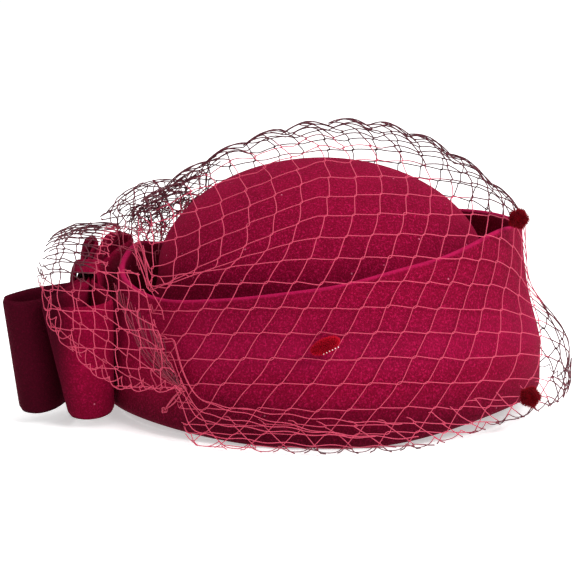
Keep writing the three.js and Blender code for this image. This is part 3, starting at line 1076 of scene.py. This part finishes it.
# The flounce: its free edge as X and Z, how far to the near side it hangs, and the height of its crest.
FLOUNCE_EDGE = ((-129, 72), (-127, 62), (-124, 50), (-118, 41), (-111, 37), (-104, 28.5), (-97, 24.5),
                (-89.5, 21.7), (-81, 21.5), (-70, 22.5), (-61.5, 24))
FLOUNCE_SIDE = ((-129, -42), (-125, -54), (-115, -61), (-104, -65.5), (-95, -68.5), (-85, -72), (-70, -77.5),
                (-61.5, -81))
FLOUNCE_CREST = ((-129, 74), (-125, 77), (-118, 80), (-105, 81), (-96, 80), (-60, 80))

# Taut threads low on the cuff: where each begins along the sheet, its height there, its sink and its end.
HEM_THREADS = ((-84, 21.5, 9, 34), (-90, 13.0, 6, 22), (-82, 6.5, 4, 30), (-86, 23.5, 16, 12),
               (-88, 17.0, 12, 40))

# The two small knots in the gathered net, and the middles that strands on the cage and the bow face from.
UPPER_KNOT = np.array([-61.5, -78.5, 24.0])
LOWER_KNOT = np.array([-70.0, -72.5, 13.0])
CAGE_MIDDLE = np.array([12.0, 0.0, 45.0])
BOW_MIDDLE = np.array([-90.0, 0.0, 40.0])


@dataclass(frozen=True)
class NetLobe:
    """A lobe of bunched net: where it lies, how high and wide it stands, and its cells' size."""

    first: float
    last: float
    foot: float
    low_top: float
    high_top: float
    middle: float
    reach: float
    phase: float
    cell: float

    def grid(self) -> Array:
        """Places on the lobe: an arch across the hat at each of nine stations, with a slow swell."""
        share = np.linspace(0, 1, 9)[:, None]
        turn = np.linspace(0, math.pi, 11)[None]
        swell = 1 + 0.09 * np.sin(7 * share + 3 * turn + self.phase)
        x = lerp(self.first, self.last, share) + 2.5 * np.sin(3 * turn + self.phase)
        y = self.middle - self.reach * np.cos(turn) * swell
        top = lerp(self.low_top, self.high_top, share**0.8)
        z = self.foot + (top - self.foot) * np.sin(turn) ** 0.8 * swell
        return np.stack(np.broadcast_arrays(x, y, z), axis=-1)


LOBES = (
    NetLobe(-104.0, -56.0, 66.0, 87.0, 109.0, 26.0, 28.0, 0.0, 10.5),
    NetLobe(-100.0, -52.0, 70.0, 92.0, 110.0, 36.0, 22.0, 2.0, 11.5),
    NetLobe(-94.0, -64.0, 74.0, 88.0, 98.0, 32.0, 14.0, 4.0, 6.5),
    NetLobe(-92.0, -60.0, 72.0, 84.0, 94.0, 40.0, 16.0, 6.0, 7.0),
)


@dataclass
class NetVeil:
    """The net over the crown and the cuff, its gathers at the back, and its flounce over the bow."""

    form: HatForm
    pattern: NetPattern = NetPattern()
    thread: float = 0.215
    lean_low: float = 0.66
    lean_more: float = 0.006
    lean_fade: float = 0.0135
    row_tilt: float = -0.15
    row_curve: float = 0.0
    fold_start: float = -2.0
    fold_slope: float = 0.42
    start: tuple[float, float] = (0.0, 0.0)

    def half_sheet(self) -> NetSheet:
        """One side of the cage as a sheet: up the wall to the shoulder, then straight in to the ridge.

        Distance along is measured round the cuff from the middle of the side, distance up from the
        shoulder.
        """
        form = self.form
        angle = np.linspace(-math.pi, 0.0, 1441)
        girth = form.on_oval(angle, 0.0, 0.0)
        arc = running_length(girth)
        arc = arc - arc[len(arc) // 2]
        along = np.linspace(arc[0], arc[-1], 401)
        turn = np.interp(along, arc, angle)[:, None]
        wall = form.cage_wall(turn, np.linspace(0, 1, 70)[None])
        rim = form.shoulder(turn[:, 0])
        inward = np.linspace(1, 0, 100)[None, 1:] ** 1.5
        x = np.repeat(rim[:, :1], inward.shape[1], axis=1)
        dome = form.cage_dome(x, rim[:, 1:2] * inward)
        puff = np.abs(np.sin(math.pi * (dome[..., 0] + 0.25 * dome[..., 1]) / 19.0)) - 0.6
        dome[..., 2] += 3.0 * puff * smoothstep(1 - inward, 0.25, 0.8)
        wall_length = np.linalg.norm(np.diff(wall, axis=1), axis=2).sum(axis=1)
        return NetSheet.laid(along, np.concatenate([wall, dome], axis=1), -wall_length)

    def shift(self, up: Array) -> Array:
        """How far the columns have moved along by a height: a steady lean on the wall that turns back."""
        over, under = np.maximum(up, 0.0), np.maximum(-up - 22.0, 0.0)
        return self.lean_low * up - self.lean_fade * over**2 / 2 - self.lean_more * under**2 / 2

    def painted_shade_at(self, points: Array) -> Array:
        """How much painted shade the thread gets: bright over the felt, dark where it stands clear of it.

        It turns to painted shade over a line that follows the crown's top and the cuff's edge from end to
        end, past the cuff at the front, at the very hem, and over the bow's outer corner.
        """
        x, y, z = points[:, 0], points[:, 1], points[:, 2]
        top = np.maximum(119 - 0.0065 * (x + 2) ** 2, 82.0)
        over = smoothstep(0.974 * z + 0.225 * y - top, -1.0, 5.0)
        past = smoothstep(x, 101.0, 105.0)
        hem = smoothstep(5.0 + 9.0 * smoothstep(x, 50, 100) - z, 0.0, 3.0) * smoothstep(x, -40.0, 0.0)
        bow = smoothstep(-x, 99.0, 105.0) * smoothstep(z, 62.0, 70.0)
        return np.clip(over + past + hem + bow, 0.0, 1.0)

    def bunched_painted_shade(self, points: Array) -> Array:
        """The painted shade where net lies bunched: half the usual change, about a middle tone."""
        return self.painted_shade_at(points) * 0.5 + 0.45

    def lay(self, batch: TubeBatch, sheet: NetSheet, mirror: float, columns: tuple[int, int],
            rows: tuple[int, int], start: tuple[float, float], lean: float = 1.0, lift: float = 0.0,
            fold: bool = False, band: tuple[float, float] = (0.0, 999.0), ripple: float = 0.55,
            tone: Callable[[Array], Array] | None = None, rise: float | None = None) -> None:
        """Lay the pattern on a sheet and keep what lies inside its edges.

        Args:
            batch: Where the tubes go.
            sheet: The surface.
            mirror: 1 for the near side, -1 for the far side.
            columns: First and last column.
            rows: First and last row.
            start: Where the crossing of column 0 and row 0 lies, along and up the sheet.
            lean: Times the pattern's lean. At 0 the strands face out from the bow, not from the cage.
            lift: How far the net stands off the sheet, in millimetres.
            fold: Whether the rows behind fold_start sag towards the shoulder.
            band: The part of the sheet to cover, as distances up from its lower edge.
            ripple: How far the thread wanders, in millimetres.
            tone: The thread's painted shade by place.
            rise: Height of a cell, where it isn't the pattern's.
        """
        centre = CAGE_MIDDLE if lean else BOW_MIDDLE
        for number in range(columns[0] - rows[1], columns[1] - rows[0] + 1):
            net = self.pattern.strand(number, rows[0], rows[1])
            up = start[1] + net[:, 1] * (rise or self.pattern.rise)
            along = start[0] + net[:, 0] * self.pattern.pitch + lean * self.shift(up)
            up = up + self.row_tilt * along + self.row_curve * along**2
            if fold:
                behind = np.maximum(self.fold_start - along, 0.0)
                up = up - self.fold_slope * behind * smoothstep(up, 6.0, 40.0)
            wander = ripple * np.sin(0.13 * along + 0.21 * up + number) * np.cos(0.17 * up - 0.11 * along)
            along = along + wander
            up = up + 0.8 * wander * np.cos(0.09 * along)
            low, high = sheet.limits(along)
            low, high = low + band[0], np.minimum(high, low + band[1])
            begin = max(sheet.along[0], sheet.back)
            inside = (up > low) & (up < high) & (along > begin) & (along < sheet.along[-1])
            for first, past in runs_inside(inside):
                first, past = max(first - 1, 0), min(past + 1, len(up))
                here = slice(first, past)
                p = np.clip(along[here], sheet.along[0], sheet.along[-1])
                q = np.clip(up[here], low[here], high[here])
                near = (np.abs(q - up[here]) < 4.0) & (np.abs(p - along[here]) < 4.0)
                p, q = p[near], q[near]
                line = sheet.at(p, q)
                outward = unit(line - centre)
                line = (line + outward * lift) * np.array([1.0, mirror, 1.0])
                outward = outward * np.array([1.0, mirror, 1.0])
                # depth is the thread's painted shade here; it also thickens the thread a little.
                depth = (tone or self.painted_shade_at)(line)
                batch.add(line, outward, depth, 1.0 + 0.35 * depth)

    def build_cage(self) -> None:
        """The net over both sides, each side one piece, meeting along the ridge and the front."""
        sheet = self.half_sheet()
        sheet.back = -102.0
        for name, mirror in (("veil_net_near", 1.0), ("veil_net_far", -1.0)):
            batch = TubeBatch(self.thread)
            self.lay(batch, sheet, mirror, (-18, 18), (-9, 12), self.start, fold=mirror > 0)
            self.edge_thread(batch, sheet, mirror)
            stands_for = ["veil_cage"] if mirror > 0 else []
            hand_over(batch.make(name, self.form.place), Finish.NET, "net", *stands_for)
        strip = TubeBatch(self.thread)
        self.lay(strip, sheet, 1.0, (-14, 12), (-8, 6), (3.0, -2.0), lean=-1.1, lift=0.9,
                 band=(0.4, 15.0), rise=10.0, ripple=0.8)
        self.hem_lines(strip, sheet)
        hand_over(strip.make("veil_hem_strip", self.form.place), Finish.NET, "net")

    def edge_thread(self, batch: TubeBatch, sheet: NetSheet, mirror: float) -> None:
        """The looped thread along the hem: a row of shallow scallops, one to a cell."""
        along = np.linspace(-60.0, sheet.along[-1], 900)
        scallop = np.abs(np.sin(math.pi * (along + 4.0) / self.pattern.pitch))
        low, _ = sheet.limits(along)
        line = sheet.at(along, low + 0.4 + 2.6 * (1 - scallop) ** 1.5)
        side = np.array([1.0, mirror, 1.0])
        outward = unit(line * IN_PLAN)
        line = (line + outward * 0.9 * np.sin(0.21 * along)[:, None]) * side
        batch.add(line, outward * side + np.array([0, 0, 0.3]), self.painted_shade_at(line))

    def hem_lines(self, batch: TubeBatch, sheet: NetSheet) -> None:
        """Taut threads that run forward from the gather, low on the cuff, and sink towards the hem."""
        for begin, low_at, sink, far in HEM_THREADS:
            share = np.linspace(0, 1, 60)
            along = lerp(float(begin), float(far), share)
            low, _ = sheet.limits(np.maximum(along, -70.0))
            up = low + low_at - sink * share**1.4 + 0.5 * np.sin(0.35 * along)
            line = sheet.at(along, up)
            outward = unit(line * IN_PLAN)
            line = line + outward * 1.4
            batch.add(line, outward + np.array([0, 0, 0.3]), self.painted_shade_at(line))

    def gathered_strand(self, number: int, share: Array) -> Array:
        """One strand from the flounce to the upper knot: a quadratic curve with a dying wave."""
        far = (number * 0.618) % 1.0
        begin = lerp(np.array([-93.0, -59.5, 68.0]), np.array([-69.0, -77.5, 45.0]), far)
        bend = lerp(np.array([-86.0, -68.5, 36.0]), np.array([-66.5, -80.5, 34.0]), far)
        blend = share[:, None]
        line = (1 - blend) ** 2 * begin + 2 * blend * (1 - blend) * bend + blend**2 * UPPER_KNOT
        wave = np.sin(6 * share + number)[:, None] * np.sin(math.pi * blend) * np.array([1.1, 0.5, 0.8])
        return line + wave

    def knot_turns(self, size: float) -> Array:
        """Two turns of thread wound into a small trefoil that faces the near side."""
        turn = np.linspace(0, 4 * math.pi, 70)
        reach = size * (0.7 + 0.3 * np.cos(1.5 * turn))
        depth = 0.6 * np.sin(1.5 * turn) - 0.6
        return np.stack([reach * np.cos(turn), depth, reach * np.sin(turn)], axis=1)

    def build_gather(self) -> None:
        """The rope of gathered net at each end of the hem's climb, with its two small knots.

        Each strand follows the hem from the flounce down to the first knot, waved and spread about it;
        the spread closes towards the knot. Shorter strands join the two knots.
        """
        batch = TubeBatch(self.thread)
        share = np.linspace(0, 1, 40)
        for mirror in (1.0, -1.0):
            side = np.array([1.0, mirror, 1.0])
            outward = np.tile([0.0, -mirror, 0.2], (40, 1))
            for k in range(20):
                # Painted shade on the gathered strands, in three steps from strand to strand; the knots
                # below get little.
                tone = 0.35 + 0.3 * (k % 3)
                batch.add(self.gathered_strand(k, share) * side, outward, tone, 0.8)
            for k in range(6):
                bend = np.array([1.2 * math.sin(k), -0.8, 1.2 * math.cos(k * 2)])
                sag = np.sin(math.pi * share)[:, None] * bend
                batch.add((lerp(UPPER_KNOT, LOWER_KNOT, share[:, None]) + sag) * side, outward, 0.1)
            for centre, size in ((UPPER_KNOT, 1.6), (LOWER_KNOT, 1.3)):
                facing = np.tile([0.0, -mirror, 0.0], (70, 1))
                batch.add((centre + self.knot_turns(size)) * side, facing, 0.15, 1.3)
        hand_over(batch.make("veil_gathers", self.form.place), Finish.NET, "net")

    def patch(self, rows: Array, columns: int, steps: int) -> NetSheet:
        """A free sheet through a grid of places: smooth curves along it and up it.

        Args:
            rows: Place along, place up, coordinate.
            columns: Number of columns worked out along the sheet.
            steps: Number of points worked out up each column.

        Returns:
            The sheet, its distances measured along its lower edge and up from it.
        """
        at = np.linspace(0, 1, columns)
        along_curves = [open_curve(rows[:, k], at) for k in range(rows.shape[1])]
        grid = np.stack(along_curves, axis=1)
        up = np.linspace(0, 1, steps)
        filled = np.stack([open_curve(column, up) for column in grid])
        mid = filled[:, steps // 2]
        length = running_length(mid)
        even = np.linspace(0, length[-1], columns)
        spaced = np.stack([
            np.stack([np.interp(even, length, filled[:, j, k]) for k in range(3)], axis=-1)
            for j in range(steps)
        ], axis=1)
        return NetSheet.laid(even, spaced, np.zeros(columns))

    def flounce_sheet(self) -> NetSheet:
        """The flounce as a sheet of columns at even places along X.

        Each column starts on the free edge, climbs the near side in front of the bow, and past the
        cuff's end bends over the top and down to the far side. Its height up the sheet starts at the
        edge's own height, so the net's rows lie level.
        """
        edge, side, crest = (np.array(rows, float) for rows in (FLOUNCE_EDGE, FLOUNCE_SIDE, FLOUNCE_CREST))
        x = np.linspace(edge[0, 0], edge[-1, 0], 150)
        low = np.interp(x, edge[:, 0], edge[:, 1])
        near = np.interp(x, side[:, 0], side[:, 1])
        top = np.interp(x, crest[:, 0], crest[:, 1])
        climb = np.linspace(0, 1, 24)[None]
        z = lerp(low[:, None], np.maximum(top - 7.0, low + 1.0)[:, None], climb)
        tuck = 7.0 * climb**3 - 1.6 * np.sin(math.pi * climb)
        wall = np.stack([np.broadcast_to(x[:, None], z.shape), near[:, None] + tuck, z], axis=-1)
        over = np.linspace(0, 1, 60)[None, 1:]
        y = lerp(wall[:, -1:, 1], 47.0, over)
        arch = np.sin(math.pi * np.clip(over * 1.35, 0, 0.5)) * (1 - 0.5 * smoothstep(over, 0.75, 1.0))
        roof_z = lerp(wall[:, -1:, 2], top[:, None] + 3.0 * np.sin(math.pi * over), arch)
        roof = np.stack([np.broadcast_to(x[:, None], y.shape), y, roof_z], axis=-1)
        sheet = NetSheet.laid(x, np.concatenate([wall, roof], axis=1), low)
        wall_top = low + np.linalg.norm(np.diff(wall, axis=1), axis=2).sum(axis=1)
        angle = -np.arccos(np.clip(x / self.form.place.half_length, -1, 1))
        meeting = self.form.cage_hem(angle) + 9.0
        sheet.high = np.where(x > -97.0, np.minimum(np.maximum(meeting, low + 4), wall_top + 6), sheet.high)
        return sheet

    def build_flounce(self) -> None:
        """The net that fans out over the bow from the cuff's edge and ends in open loops."""
        sheet = self.flounce_sheet()
        batch = TubeBatch(self.thread)
        square = NetVeil(self.form, NetPattern(10.2, 8.7, 0.6, 7), self.thread, row_tilt=0.07)
        square.lay(batch, sheet, 1.0, (-5, 5), (-2, 24), (-91.0, 38.0), lean=0.0, ripple=0.7)
        skewed = NetVeil(self.form, NetPattern(11.5, 10.5, 0.6, 7), self.thread, row_tilt=-0.55)
        skewed.lay(batch, sheet, 1.0, (-5, 4), (-9, 22), (-97.0, -20.0), lean=0.0, lift=-2.6, ripple=1.7)
        edge = np.array(FLOUNCE_EDGE, float)
        length = np.concatenate([[0], np.cumsum(np.hypot(*np.diff(edge, axis=0).T))])
        at = np.linspace(0, length[-1], 620)
        x, z = (np.interp(at, length, edge[:, k]) for k in range(2))
        for shift, depth, stand in ((0.0, 3.4, 0.4), (5.2, 5.4, -1.8)):
            loop = np.abs(np.sin(math.pi * (at + shift) / 10.2)) ** 0.6
            rise = depth * (1 - loop)
            line = sheet.at(x + 0.55 * rise, z + rise)
            outward = unit(line - BOW_MIDDLE)
            line = line + outward * (stand + 0.5 * np.sin(0.3 * at))[:, None]
            batch.add(line, outward, self.painted_shade_at(line))
        hand_over(batch.make("veil_flounce_net", self.form.place), Finish.NET, "net", "veil_flounce")

    def build_back(self) -> None:
        """Loose lobes of net bunched behind the crown, over the bow's far loop.

        Each lobe is an arch across the hat, from one foot up over its top and down to the other, wide at
        the back and drawn in towards the crown, with wavy net laid on it.
        """
        batch = TubeBatch(self.thread)
        for lobe in LOBES:
            sheet = self.patch(lobe.grid(), 90, 60)
            laid = NetVeil(self.form, NetPattern(lobe.cell, lobe.cell, 0.5, 6), self.thread)
            laid.lay(batch, sheet, 1.0, (-12, 16), (-4, 14), (lobe.phase, lobe.phase), lean=0.0,
                     ripple=1.5 if lobe.cell > 8 else 2.2, tone=self.bunched_painted_shade)
        hand_over(batch.make("veil_net_bunched", self.form.place), Finish.NET, "net")

    def build(self) -> None:
        """Make and dress every piece of net."""
        self.build_cage()
        self.build_gather()
        self.build_flounce()
        self.build_back()


# ---- Chenille dots -----------------------------------------------------------------------------------


@dataclass(frozen=True)
class ChenilleDot:
    """A tuft of chenille: a core with thousands of short fibres, as a bar or as a curled rosette."""

    node: str
    centre: tuple[float, float, float]
    half: tuple[float, float, float]
    slant: float = 0.0
    ring: bool = False
    seed: int = 3
    fibres: int = 2600
    deep: bool = False

    def surface(self, u: Array, v: Array) -> tuple[Array, Array]:
        """Places and outward directions on the core.

        A bar is an ellipsoid that is turned by slant in the X-Z plane. A rosette is a ring that faces
        outwards, its tube swelling in five lobes.
        """
        if self.ring:
            tube = 0.42 * self.half[0] * (1 + 0.16 * np.cos(5 * u))
            reach = 0.5 * self.half[0]
            normal = np.stack([np.cos(u) * np.cos(v), -np.sin(v), np.sin(u) * np.cos(v)], axis=-1)
            middle = np.stack([np.cos(u) * reach, 0 * u, np.sin(u) * reach], axis=-1)
            return middle + normal * tube[..., None], normal
        normal = np.stack([np.cos(u) * np.sin(v), np.sin(u) * np.sin(v), np.cos(v)], axis=-1)
        normal = normal[..., [2, 1, 0]]
        place = normal * np.array(self.half) * 0.72
        normal = unit(normal / np.array(self.half))
        turn = math.radians(self.slant)
        c, n = math.cos(turn), math.sin(turn)
        spin = np.array([[c, 0, -n], [0, 1, 0], [n, 0, c]])
        return place @ spin.T, normal @ spin.T

    def fibre_cones(self, draw: np.random.Generator) -> tuple[Array, Array]:
        """Thin three-sided cones, each set on the core where a random u and v put it and tilted at random.

        Args:
            draw: Where the random numbers come from.

        Returns:
            Four vertices for each fibre, its tip last, and its faces.
        """
        u = draw.uniform(0, FULL_TURN, self.fibres)
        if self.ring:
            v = draw.uniform(0, FULL_TURN, self.fibres)
        else:
            v = np.arccos(draw.uniform(-1, 1, self.fibres))
        foot, normal = self.surface(u, v)
        ahead = unit(normal + draw.normal(0, 0.38, (self.fibres, 3)))
        length = draw.uniform(0.7, 1.5, (self.fibres, 1))
        across = unit(np.cross(ahead, draw.normal(0, 1, (self.fibres, 3))))
        other = np.cross(ahead, across)
        turns = np.arange(3) * FULL_TURN / 3
        spread = np.cos(turns)[None, :, None] * across[:, None]
        spread = spread + np.sin(turns)[None, :, None] * other[:, None]
        base = foot[:, None] - ahead[:, None] * 0.3 + 0.17 * spread
        tip = (foot + ahead * length)[:, None]
        cones = np.concatenate([base, tip], axis=1).reshape(-1, 3)
        first = (np.arange(self.fibres) * 4)[:, None, None]
        faces = (first + np.array([[0, 1, 3], [1, 2, 3], [2, 0, 3], [0, 2, 1]])[None]).reshape(-1, 3)
        return cones, faces

    def core_skin(self, start: int, rings: int = 28, sides: int = 20) -> tuple[Array, Array]:
        """The closed core: rings of places on its surface, and two poles on a bar.

        Args:
            start: The number of the core's first vertex.
            rings: Rings along a bar, or round a rosette.
            sides: Places round each ring.

        Returns:
            The vertices and the triangles.
        """
        round_ring = np.arange(sides) * FULL_TURN / sides
        if self.ring:
            u, v = np.meshgrid(np.arange(rings) * FULL_TURN / rings, round_ring, indexing="ij")
        else:
            v, u = np.meshgrid(np.linspace(0.05, math.pi - 0.05, rings), round_ring, indexing="ij")
        points = self.surface(u, v)[0].reshape(-1, 3)
        quads, _, _ = ring_quads(rings if self.ring else rings - 1, rings, sides, start)
        skin = np.vstack([quads[:, [0, 1, 2]], quads[:, [0, 2, 3]]])
        if not self.ring:
            poles, _ = self.surface(np.zeros(2), np.array([0.0, math.pi]))
            skin = np.vstack([skin, end_fans(rings, sides, start, start + len(points))])
            points = np.vstack([points, poles])
        return points, skin

    def build(self, place: HatFrame) -> None:
        """Make and dress the core and its fibres as one piece, with a tone for each fibre's tip."""
        draw = np.random.default_rng(self.seed)
        cones, faces = self.fibre_cones(draw)
        core, skin = self.core_skin(len(cones))
        points = np.vstack([cones, core])
        if enclosed(points, skin) < 0:
            skin = skin[:, ::-1]
        if enclosed(points, faces) < 0:
            faces = faces[:, ::-1]
        every = np.vstack([faces, skin])
        item = new_mesh(self.node + "_pile", place.to_metres(points + np.array(self.centre)),
                        every.ravel(), np.arange(len(every)) * 3, np.zeros((every.size, 2)))
        # tone: 0 on the core and the fibres' feet, which take the painted shade of the roots; a random 0.5
        # to 1 at each tip.
        tone = np.zeros(len(points))
        tone[3:4 * self.fibres:4] = draw.uniform(0.5, 1.0, self.fibres)
        set_tone(item, tone)
        hand_over(item, Finish.DEEP_DOT if self.deep else Finish.DOT, "chenille", self.node)


@dataclass(frozen=True)
class DotBeads:
    """A short row of tiny pale beads stitched along the front dot's lower side."""

    centre: tuple[float, float, float]
    step: tuple[float, float, float]
    count: int = 6
    radius: float = 0.32

    def build(self, place: HatFrame) -> None:
        """Make and dress each bead as a piece of its own: a sphere by latitude and longitude."""
        lift = np.linspace(-0.98, 0.98, 9)
        for k in range(self.count):
            middle = np.array(self.centre) + np.array(self.step) * (k - (self.count - 1) / 2)
            size = self.radius * (0.7 + 0.3 * k / self.count)
            turn = np.arange(8) * math.pi / 4
            rings = np.sqrt(1 - lift**2)[:, None]
            x, y = rings * np.cos(turn), rings * np.sin(turn)
            ball = np.stack([x, y, np.broadcast_to(lift[:, None], x.shape)], axis=-1) * size + middle
            poles = np.array([[0, 0, -size], [0, 0, size]]) + middle
            hand_over(closed_grid(f"dot_bead_{k + 1}", ball, place, poles), Finish.BEAD, "chenille")


# ---- Stage -------------------------------------------------------------------------------------------


@dataclass
class Studio:
    """A pale floor, soft lights and the camera."""

    place: HatFrame
    elevation: float = 13.0
    distance: float = 1150.0
    lens: float = 151.7
    aim: tuple[float, float] = (-16.9, 55.0)

    def floor(self) -> None:
        """A plain pale floor, wide enough to fill the view."""
        reach = 9.0
        corners = np.array([[-reach, -reach, 0], [reach, -reach, 0], [reach, reach, 0], [-reach, reach, 0]])
        item = new_mesh("floor", corners - np.array([0, 0, 0.0001]), np.arange(4), np.array([0]))
        Finish.FLOOR.dress(item)

    def lamp(self, name: str, at: tuple[float, float, float], size: float, power: float) -> None:
        """A square soft light that faces the hat."""
        data = bpy.data.lights.new(name, "AREA")
        data.size, data.energy = size, power
        item = bpy.data.objects.new(name, data)
        item.location = at
        target = Vector(self.place.to_metres([0, 0, 60]))
        item.rotation_euler = (target - item.location).to_track_quat("-Z", "Y").to_euler()
        bpy.context.scene.collection.objects.link(item)

    def camera(self) -> None:
        """The camera looks along +Y, raised by the elevation, and aims beside the hat's middle."""
        tilt = math.radians(self.elevation)
        middle = self.place.to_metres([0, 0, 0])
        back = np.array([0, -math.cos(tilt), math.sin(tilt)]) * self.distance * MM
        up = np.array([0, math.sin(tilt), math.cos(tilt)])
        target = middle + np.array([self.aim[0] * MM, 0, 0]) + up * self.aim[1] * MM
        data = bpy.data.cameras.new("camera")
        data.lens, data.sensor_width = self.lens, 36.0
        data.clip_end = 60.0
        item = bpy.data.objects.new("camera", data)
        item.location = middle + back
        item.rotation_euler = (Vector(target) - item.location).to_track_quat("-Z", "Y").to_euler()
        bpy.context.scene.collection.objects.link(item)
        bpy.context.scene.camera = item

    def air(self) -> None:
        """A pale, even surround."""
        world = bpy.data.worlds.new("surround")
        world.use_nodes = True
        surround = world.node_tree.nodes["Background"]
        surround.inputs["Color"].default_value = (1.0, 1.0, 1.0, 1.0)
        surround.inputs["Strength"].default_value = 0.55
        bpy.context.scene.world = world

    def build(self) -> None:
        """Set the stage."""
        self.camera()
        self.floor()
        self.lamp("key", (1.3, -0.9, 1.5), 1.0, 32.0)
        self.lamp("overhead", (0.2, 0.2, 2.2), 1.4, 26.0)
        self.air()
        bpy.context.scene.view_settings.view_transform = "Standard"


def main() -> None:
    """Build the hat piece by piece, then the stage."""
    logging.basicConfig(level=logging.INFO, format="%(message)s")
    place = HatFrame.measured()
    form = HatForm(place)
    Studio(place).build()
    FeltBody(form).build()
    FeltBow(place).build()
    NetVeil(form, row_curve=-0.00125).build()
    ChenilleDot("dot_front", (1.5, -96.0, 47.1), (8.5, 3.2, 3.6), 25.0).build(place)
    ChenilleDot("dot_top", (88.5, -43.5, 95.0), (4.4, 4.4, 4.4), 0.0, True, 5, deep=True).build(place)
    ChenilleDot("dot_low", (93.4, -64.3, 17.5), (4.5, 4.5, 4.5), 0.0, True, 7, deep=True).build(place)
    DotBeads((4.0, -99.2, 45.7), (1.25, -0.02, 0.62)).build(place)
    LOG.info("boxes written")


if __name__ == "__main__":
    main()
